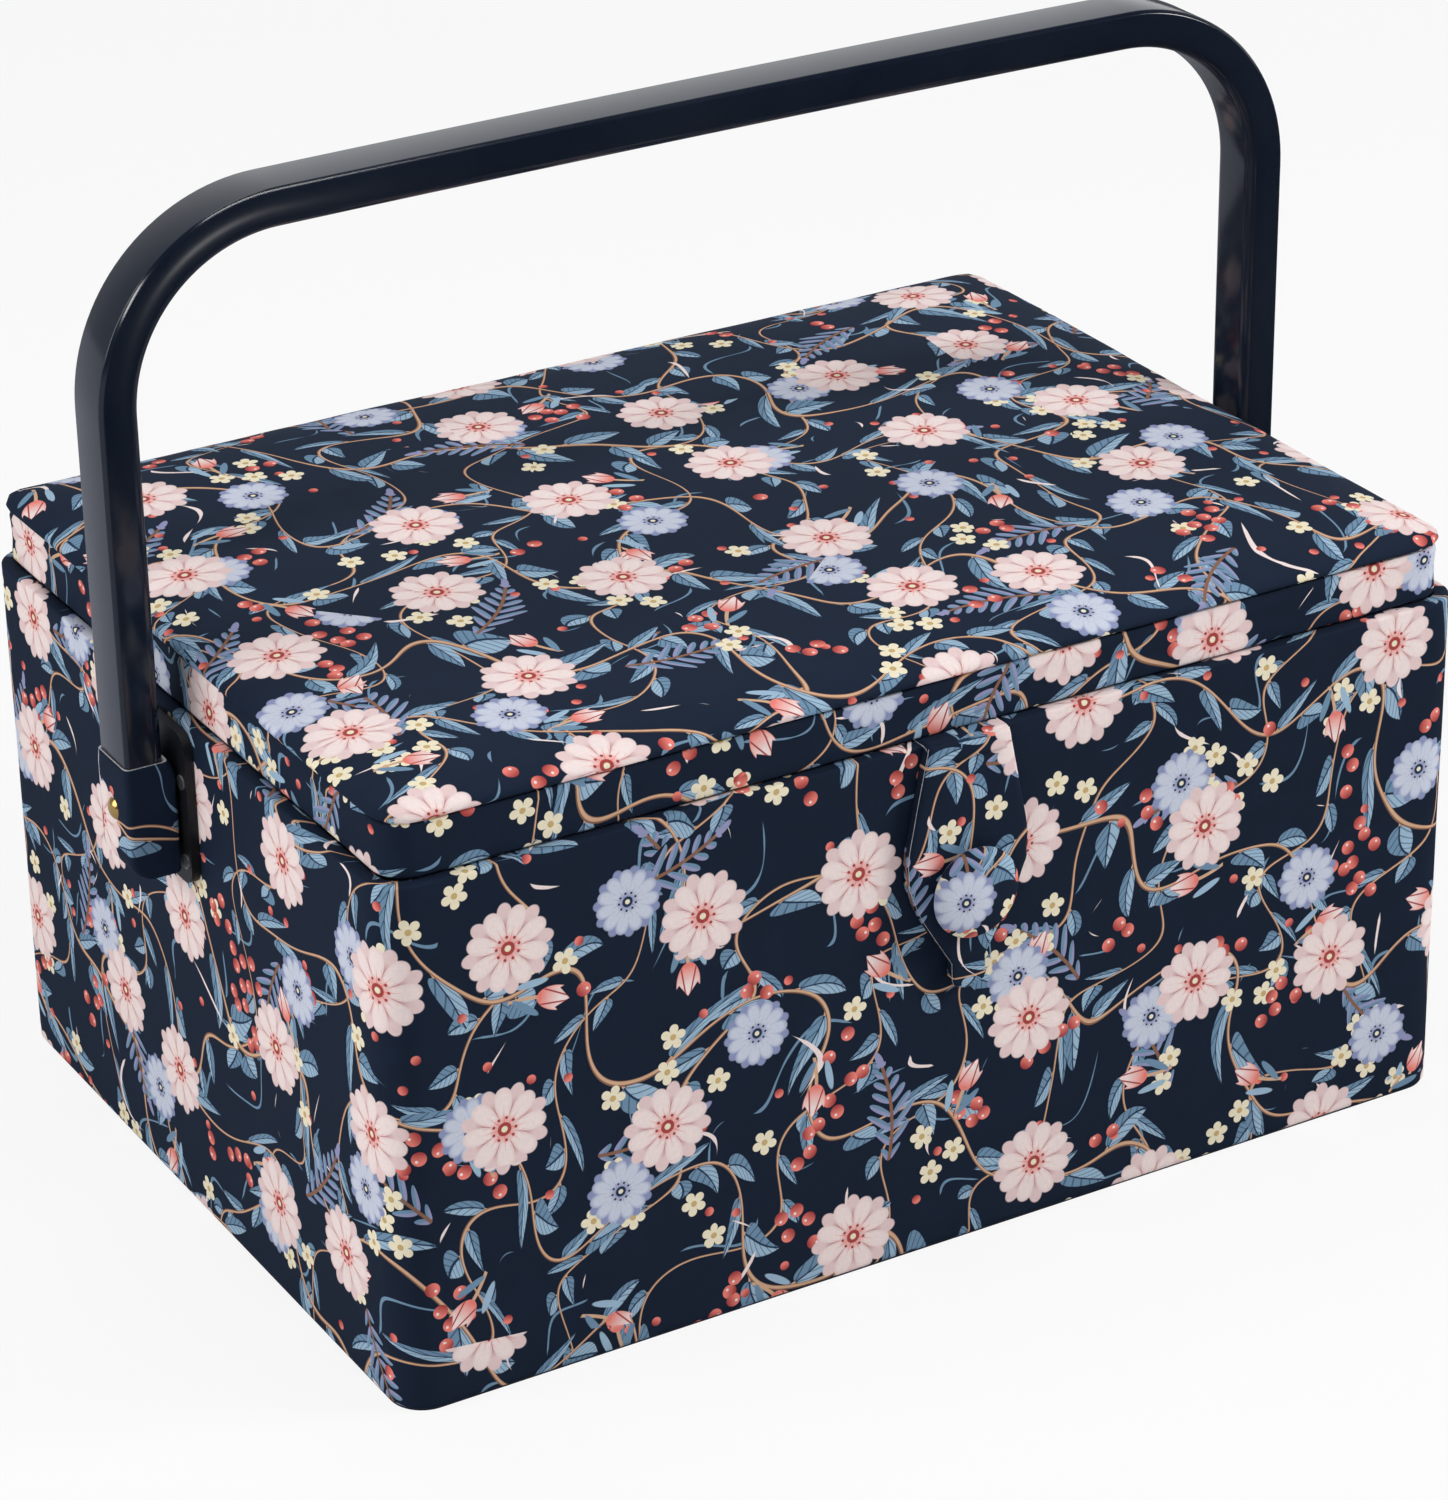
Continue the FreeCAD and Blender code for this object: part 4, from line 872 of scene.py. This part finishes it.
def makeTabNeck():
    p = neckStyle
    low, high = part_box("tab_tape")
    middle = (low[0] + high[0]) / 2
    half = tabStyle["neck"] + p["more"]
    line = [*p["inside"]]
    for a in (math.radians(90 * i / p["bendSteps"]) for i in range(1, p["bendSteps"] + 1)):
        line.append((p["bend"][0] - p["bendRadius"] * math.sin(a), p["bend"][1] + p["bendRadius"] * math.cos(a)))
    line += p["outside"]
    runs = [0.0]
    for before, after in zip(line, line[1:]):
        runs.append(runs[-1] + math.dist(after, before))
    run, shift = runs[-1], tabStyle["shift"]
    verts, flats = [], []
    for (y, z), along in zip(line, runs):
        for t in (-1 + 2 * i / p["columns"] for i in range(p["columns"] + 1)):
            verts.append((middle + half * t, y + p["curl"][0] * abs(t) ** 8, z - p["curl"][1] * abs(t) ** 8))
            flats.append((middle + half * t + shift[0], shift[1] + line[-1][1] + run - along))
    faces = gridFaces(len(line) - 1, p["columns"], flip=True)
    piece = buildMesh("tab_neck", verts, faces, laidFlat(faces, lambda k: flats[k]), ["print", "rawEdge"])
    thicken(piece, p["thickness"])
    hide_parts("tab_tape")
    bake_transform(piece)


def choose(piece, kind, test):  # selects the corners, edges or faces whose middle passes the test
    bpy.ops.mesh.select_mode(type=kind)
    bpy.ops.mesh.select_all(action="DESELECT")
    form = bmesh.from_edit_mesh(piece.data)
    for part in {"VERT": form.verts, "EDGE": form.edges, "FACE": form.faces}[kind]:
        corners = [part.co] if kind == "VERT" else [v.co for v in part.verts]
        part.select_set(bool(test(sum(corners, Vector()) / len(corners))))
    bmesh.update_edit_mesh(piece.data)


def startForm(name, scale=(1, 1, 1)):  # the plane or circle just added, ready for its first step
    piece = bpy.context.object
    piece.name = name
    piece.scale = scale
    bpy.ops.object.transform_apply(location=True, rotation=True, scale=True)
    bpy.ops.object.mode_set(mode="EDIT")
    bpy.ops.mesh.select_all(action="SELECT")
    return piece


def endForm(piece, material):
    bpy.ops.mesh.select_all(action="SELECT")
    bpy.ops.mesh.normals_make_consistent(inside=False)
    bpy.ops.object.mode_set(mode="OBJECT")
    piece.data.materials.append(materials[material])


buttonStyle = {
    "profile": ((0.0104, 0.0), (0.0106, 0.0010), (0.0119, 0.0017), (0.0125, 0.0026), (0.0124, 0.0034),
                (0.0115, 0.0043), (0.0098, 0.0050), (0.0074, 0.0055), (0.0045, 0.0059), (0.0016, 0.0060)),
    "corners": 64,
    "stretch": 1.06,
    "shift": (0.3310, 0.3620),
}


def makeButton():
    p = buttonStyle
    low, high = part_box("button_cloth")
    middle = Vector(((low[0] + high[0]) / 2, high[1], (low[2] + high[2]) / 2))
    profile, shift = p["profile"], p["shift"]
    bpy.ops.mesh.primitive_circle_add(vertices=p["corners"], radius=profile[0][0], fill_type="NGON",
                                      location=middle, rotation=(math.radians(90), 0, 0))
    piece = startForm("covered_button")
    for (before, start), (radius, height) in zip(profile, profile[1:]):
        bpy.ops.mesh.extrude_region_move(TRANSFORM_OT_translate={"value": (0, start - height, 0)})
        bpy.ops.transform.resize(value=(radius / before, 1, radius / before),
                                 center_override=(middle.x, middle.y - height, middle.z))
    endForm(piece, "print")
    bpy.ops.object.shade_smooth()
    mesh = piece.data
    layer = mesh.uv_layers.active or mesh.uv_layers.new()
    layer.name = "cloth"
    for loop, spot in zip(mesh.loops, layer.data):
        point = mesh.vertices[loop.vertex_index].co
        spot.uv = (point.x * p["stretch"] + shift[0], point.z * p["stretch"] + shift[1])
    piece.select_set(False)
    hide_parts("button_cloth", "button_shell", "button_back")
    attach(piece, "tab")


makeTab()
makeTabNeck()
makeButton()
print("tab and button made")


handleStyle = {
    "legX": 0.1713, "low": 0.1075, "bend": 0.0465, "bow": 12.0, "top": 0.2787, "bendSteps": 32, "bowSteps": 30,
    "thick": 0.0108, "width": 0.0164, "facet": 0.00095, "crisp": 0.00022, "soft": 0.0030, "heel": 0.0050,
    "smoothBelow": 35,
}


def makeHandle():
    p = handleStyle
    bpy.ops.mesh.primitive_plane_add(size=1, location=(-p["legX"], 0, p["low"]))
    piece = startForm("handle_bar", (p["thick"], p["width"], 1))
    centre = p["top"] - p["bow"]
    bendX = p["legX"] - p["bend"]
    bendZ = centre + math.sqrt((p["bow"] - p["bend"]) ** 2 - bendX ** 2)
    lean = math.atan2(bendZ - centre, bendX)
    # a narrow facet along the outer edges, its own edges broken, then the softer inner edges
    for side, size, segments in ((-1, "facet", 1), (-1, "crisp", 3), (1, "soft", 6)):
        choose(piece, "VERT", lambda at: (at.x + p["legX"]) * side > 0)
        bpy.ops.mesh.bevel(offset=p[size], segments=segments, affect="VERTICES")
    choose(piece, "FACE", lambda at: True)
    bpy.ops.mesh.delete(type="ONLY_FACE")
    choose(piece, "EDGE", lambda at: True)
    bpy.ops.mesh.extrude_edges_move(TRANSFORM_OT_translate={"value": (0, 0, bendZ - p["low"])})
    for steps, angle, x, z in ((p["bendSteps"], lean, -bendX, bendZ), (p["bowSteps"], math.pi - 2 * lean, 0, centre),
                               (p["bendSteps"], lean, bendX, bendZ)):
        bpy.ops.mesh.spin(steps=steps, angle=angle, center=(x, 0, z), axis=(0, -1, 0))
    bpy.ops.mesh.extrude_edges_move(TRANSFORM_OT_translate={"value": (0, 0, p["low"] - bendZ)})
    bpy.ops.mesh.select_all(action="SELECT")
    bpy.ops.mesh.remove_doubles(threshold=0.00001)
    bpy.ops.mesh.fill_holes(sides=0)
    for side in (-1, 1):  # the heels, cut off inside the sleeves
        bpy.ops.mesh.select_all(action="SELECT")
        bpy.ops.mesh.bisect(plane_co=(side * (p["legX"] + p["thick"] / 2), 0, p["low"] + p["heel"]),
                            plane_no=(side, 0, -1), clear_outer=True, use_fill=True)
    endForm(piece, "handle")
    bpy.ops.object.shade_smooth_by_angle(angle=math.radians(p["smoothBelow"]))
    piece.select_set(False)
    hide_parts("handle")
    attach(piece, "handle")


makeHandle()
print("handle made")


sleeveStyle = {
    "levels": 30, "lift": 0.0018, "drop": 0.0010, "grow": 0.0005, "heel": 0.0070, "foot": 0.0012, "corner": 0.0016,
    "hug": 0.0006, "narrowing": 0.0050, "crest": 0.0000423, "wobble": 0.00013,
    "raw": ((0.00055, 0.0), (0.00065, 0.0020)),  # inwards and down, at the top edge
    "shift": {-1: 0.62, 1: 0.815},
}


def makeSleeve(side, node, name):
    p, bar = sleeveStyle, handleStyle
    low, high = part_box(node)
    outer, inner = (high[0], low[0]) if side > 0 else (-low[0], -high[0])
    outer, half = outer + p["grow"], high[1] + p["grow"]
    bottom, top = low[2] + p["lift"], high[2] - p["drop"]
    legOut, legIn, legHalf = bar["legX"] + bar["thick"] / 2, bar["legX"] - bar["thick"] / 2, bar["width"] / 2
    rings = []
    for share in (i / p["levels"] for i in range(p["levels"] + 1)):
        z = between(bottom, top, share ** 1.25)
        heel, foot = roundedOff(p["heel"], z - bottom), roundedOff(p["foot"], z - bottom)
        hug = max(0.0, 1 - (top - z) / p["narrowing"]) ** 2  # closes on the leg towards the top
        out = between(outer, legOut + p["hug"], hug) - heel
        into = between(inner, legIn - p["hug"], hug) + foot
        wide = between(half, legHalf + p["hug"], hug) - foot
        outline, _ = roundedOutline(into, out, -wide, wide, min(p["corner"], (out - into) / 2 - 0.0001), 4, 5)
        z += p["crest"] * (share == 1)
        rings.append([Vector((*point[0], z)) for point in outline])
    count, last, centre = len(rings[0]), rings[-1], (legOut + legIn) / 2

    def inwards(distance, depth, near):
        return math.copysign(min(depth, abs(distance)), distance) * (abs(distance) > near)

    for depth, drop in p["raw"]:
        rings.append([Vector((point.x - inwards(point.x - centre, depth, 0.003),
                              point.y - inwards(point.y, depth, 0.006), top - drop)) for point in last])
    verts = []
    for number, ring in enumerate(rings):
        for point in ring:
            soft = p["wobble"] * noise.noise(point * 110 + Vector((side, 0, 0))) * (number < p["levels"] - 2)
            verts.append((side * (point.x + soft), point.y * (1 + soft * 60), point.z))
    runs, shift = [0.0], p["shift"][side]
    for k in range(count):
        runs.append(runs[-1] + (rings[12][(k + 1) % count] - rings[12][k]).length)
    faces = tubeFaces(len(rings), count)
    uvs = tubeFlats([run + shift for run in runs], [ring[0].z for ring in rings])
    slotIndex = [0] * (p["levels"] * count) + [1] * (len(p["raw"]) * count) + [0]
    faces.append(tuple(reversed(range(count))))
    uvs.append(tuple((verts[k][0] + shift, verts[k][1] + 0.1) for k in faces[-1]))
    piece = buildMesh(name, verts, faces, uvs, ["print", "rawEdge"], slotIndex)
    if side < 0:
        piece.data.flip_normals()
    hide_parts(node)
    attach(piece, "handle")


makeSleeve(-1, "sleeve_left", "sleeve_cloth_left")
makeSleeve(1, "sleeve_right", "sleeve_cloth_right")
print("sleeves made")


pincushionStyle = {
    "rows": 48, "columns": 44, "bulge": 0.35, "rise": 1.6, "edge": 0.12, "lip": 0.0012, "margin": 0.995,
    "wobble": 0.0003,
}


def makePincushion():
    p = pincushionStyle
    low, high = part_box("pincushion")
    cx, cy = (low[0] + high[0]) / 2, (low[1] + high[1]) / 2
    hx, hy = (high[0] - low[0]) / 2, (high[1] - low[1]) / 2
    rows, columns = p["rows"], p["columns"]

    def spot(across, along, stuffed):
        u, v = -1 + 2 * across, -1 + 2 * along
        x = u * math.sqrt(1 - v * v / 2 * p["bulge"]) * hx
        y = v * math.sqrt(1 - u * u / 2 * p["bulge"]) * hy
        z = high[2]
        if stuffed:
            edge = max(0.0, min(1 - abs(u), 1 - abs(v)))
            full = 1 - (1 - min(1, edge * p["rise"])) ** 2.4
            z -= (high[2] - low[2]) * (p["edge"] + (1 - p["edge"]) * full ** 0.62) if edge else p["lip"]
            z += softness((cx + x, cy + y, 0), p["wobble"], 60, 7.0)
        return cx + x * p["margin"], cy + y * p["margin"], min(z, high[2])

    verts = twoLayers(rows, columns, spot)
    second = len(verts) // 2
    faces = gridFaces(rows, columns) + gridFaces(rows, columns, second, flip=True)
    faces += ringFaces(gridRim(rows, columns), gridRim(rows, columns, second), flip=True)
    uvs = laidFlat(faces, lambda k: verts[k][:2])
    piece = buildMesh("pincushion_pad", verts, faces, uvs, ["velvet"])
    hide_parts("pincushion")
    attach(piece, "lid")


pocketStyle = {
    "rows": 60, "columns": 84, "thickness": 0.0005, "shift": (0.3, 0.2), "gap": 0.0003, "depthLeft": 0.0010,
    "edge": 0.0035, "pleats": 19, "pleat": 0.00055, "pleatFade": 2.2, "sway": 0.0006,
}


def makePocket():
    p = pocketStyle
    low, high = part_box("lid_pocket")
    shift = p["shift"]

    def spot(u, v):
        x, y = between(low[0], high[0], u), between(low[1], high[1], v)
        near = min(min(u, 1 - u) * (high[0] - low[0]), (1 - v) * (high[1] - low[1]))
        hang = 1 - math.exp(-near / p["edge"])
        pleat = math.sin(u * math.tau * p["pleats"]) * p["pleat"] * math.exp(-v * p["pleatFade"])
        z = high[2] - p["gap"] - (high[2] - low[2] - p["depthLeft"]) * hang
        return x, y, min(z + (pleat + softness((x, y, 0), p["sway"], 26, 6.0)) * hang, high[2])

    verts = gridPoints(p["rows"], p["columns"], spot)
    faces = gridFaces(p["rows"], p["columns"], flip=True)
    uvs = laidFlat(faces, lambda k: (verts[k][0] + shift[0], verts[k][1] + shift[1]))
    piece = buildMesh("pocket_cloth", verts, faces, uvs, ["lining", "lining"])
    thicken(piece, p["thickness"])
    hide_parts("lid_pocket")
    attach(piece, "lid")


makePincushion()
makePocket()
print("inside made")


sides = ("front", "back", "left", "right")
corners = ("front_left", "front_right", "back_left", "back_right")
kept = {  # pieces that keep their shape, by material
    "base": ["base_cover"],
    "board": ["base_board", "lid_board", "tray_support_left", "tray_support_right",
              *("wall_" + side for side in sides), *("lid_rim_" + side for side in sides),
              *("corner_" + corner for corner in corners), *("lid_corner_" + corner for corner in corners)],
    "lining": ["lining_walls", "lining_base", "lid_lining"],
    "elastic": ["pocket_elastic"],
    "tray": ["tray"],
    "bracket": ["pivot_bracket_left", "pivot_bracket_right"],
    "brass": ["pivot_rivet_left", "pivot_rivet_right"],
    "steel": ["bracket_rivets", "pivot_washers", "front_magnet", "tab_magnet"],
}
for slot, names in kept.items():
    for name in names:
        node = bpy.data.objects[name]
        node.data.materials.clear()
        node.data.materials.append(materials[slot])
print("kept pieces dressed")

scene.view_settings.view_transform = "Standard"
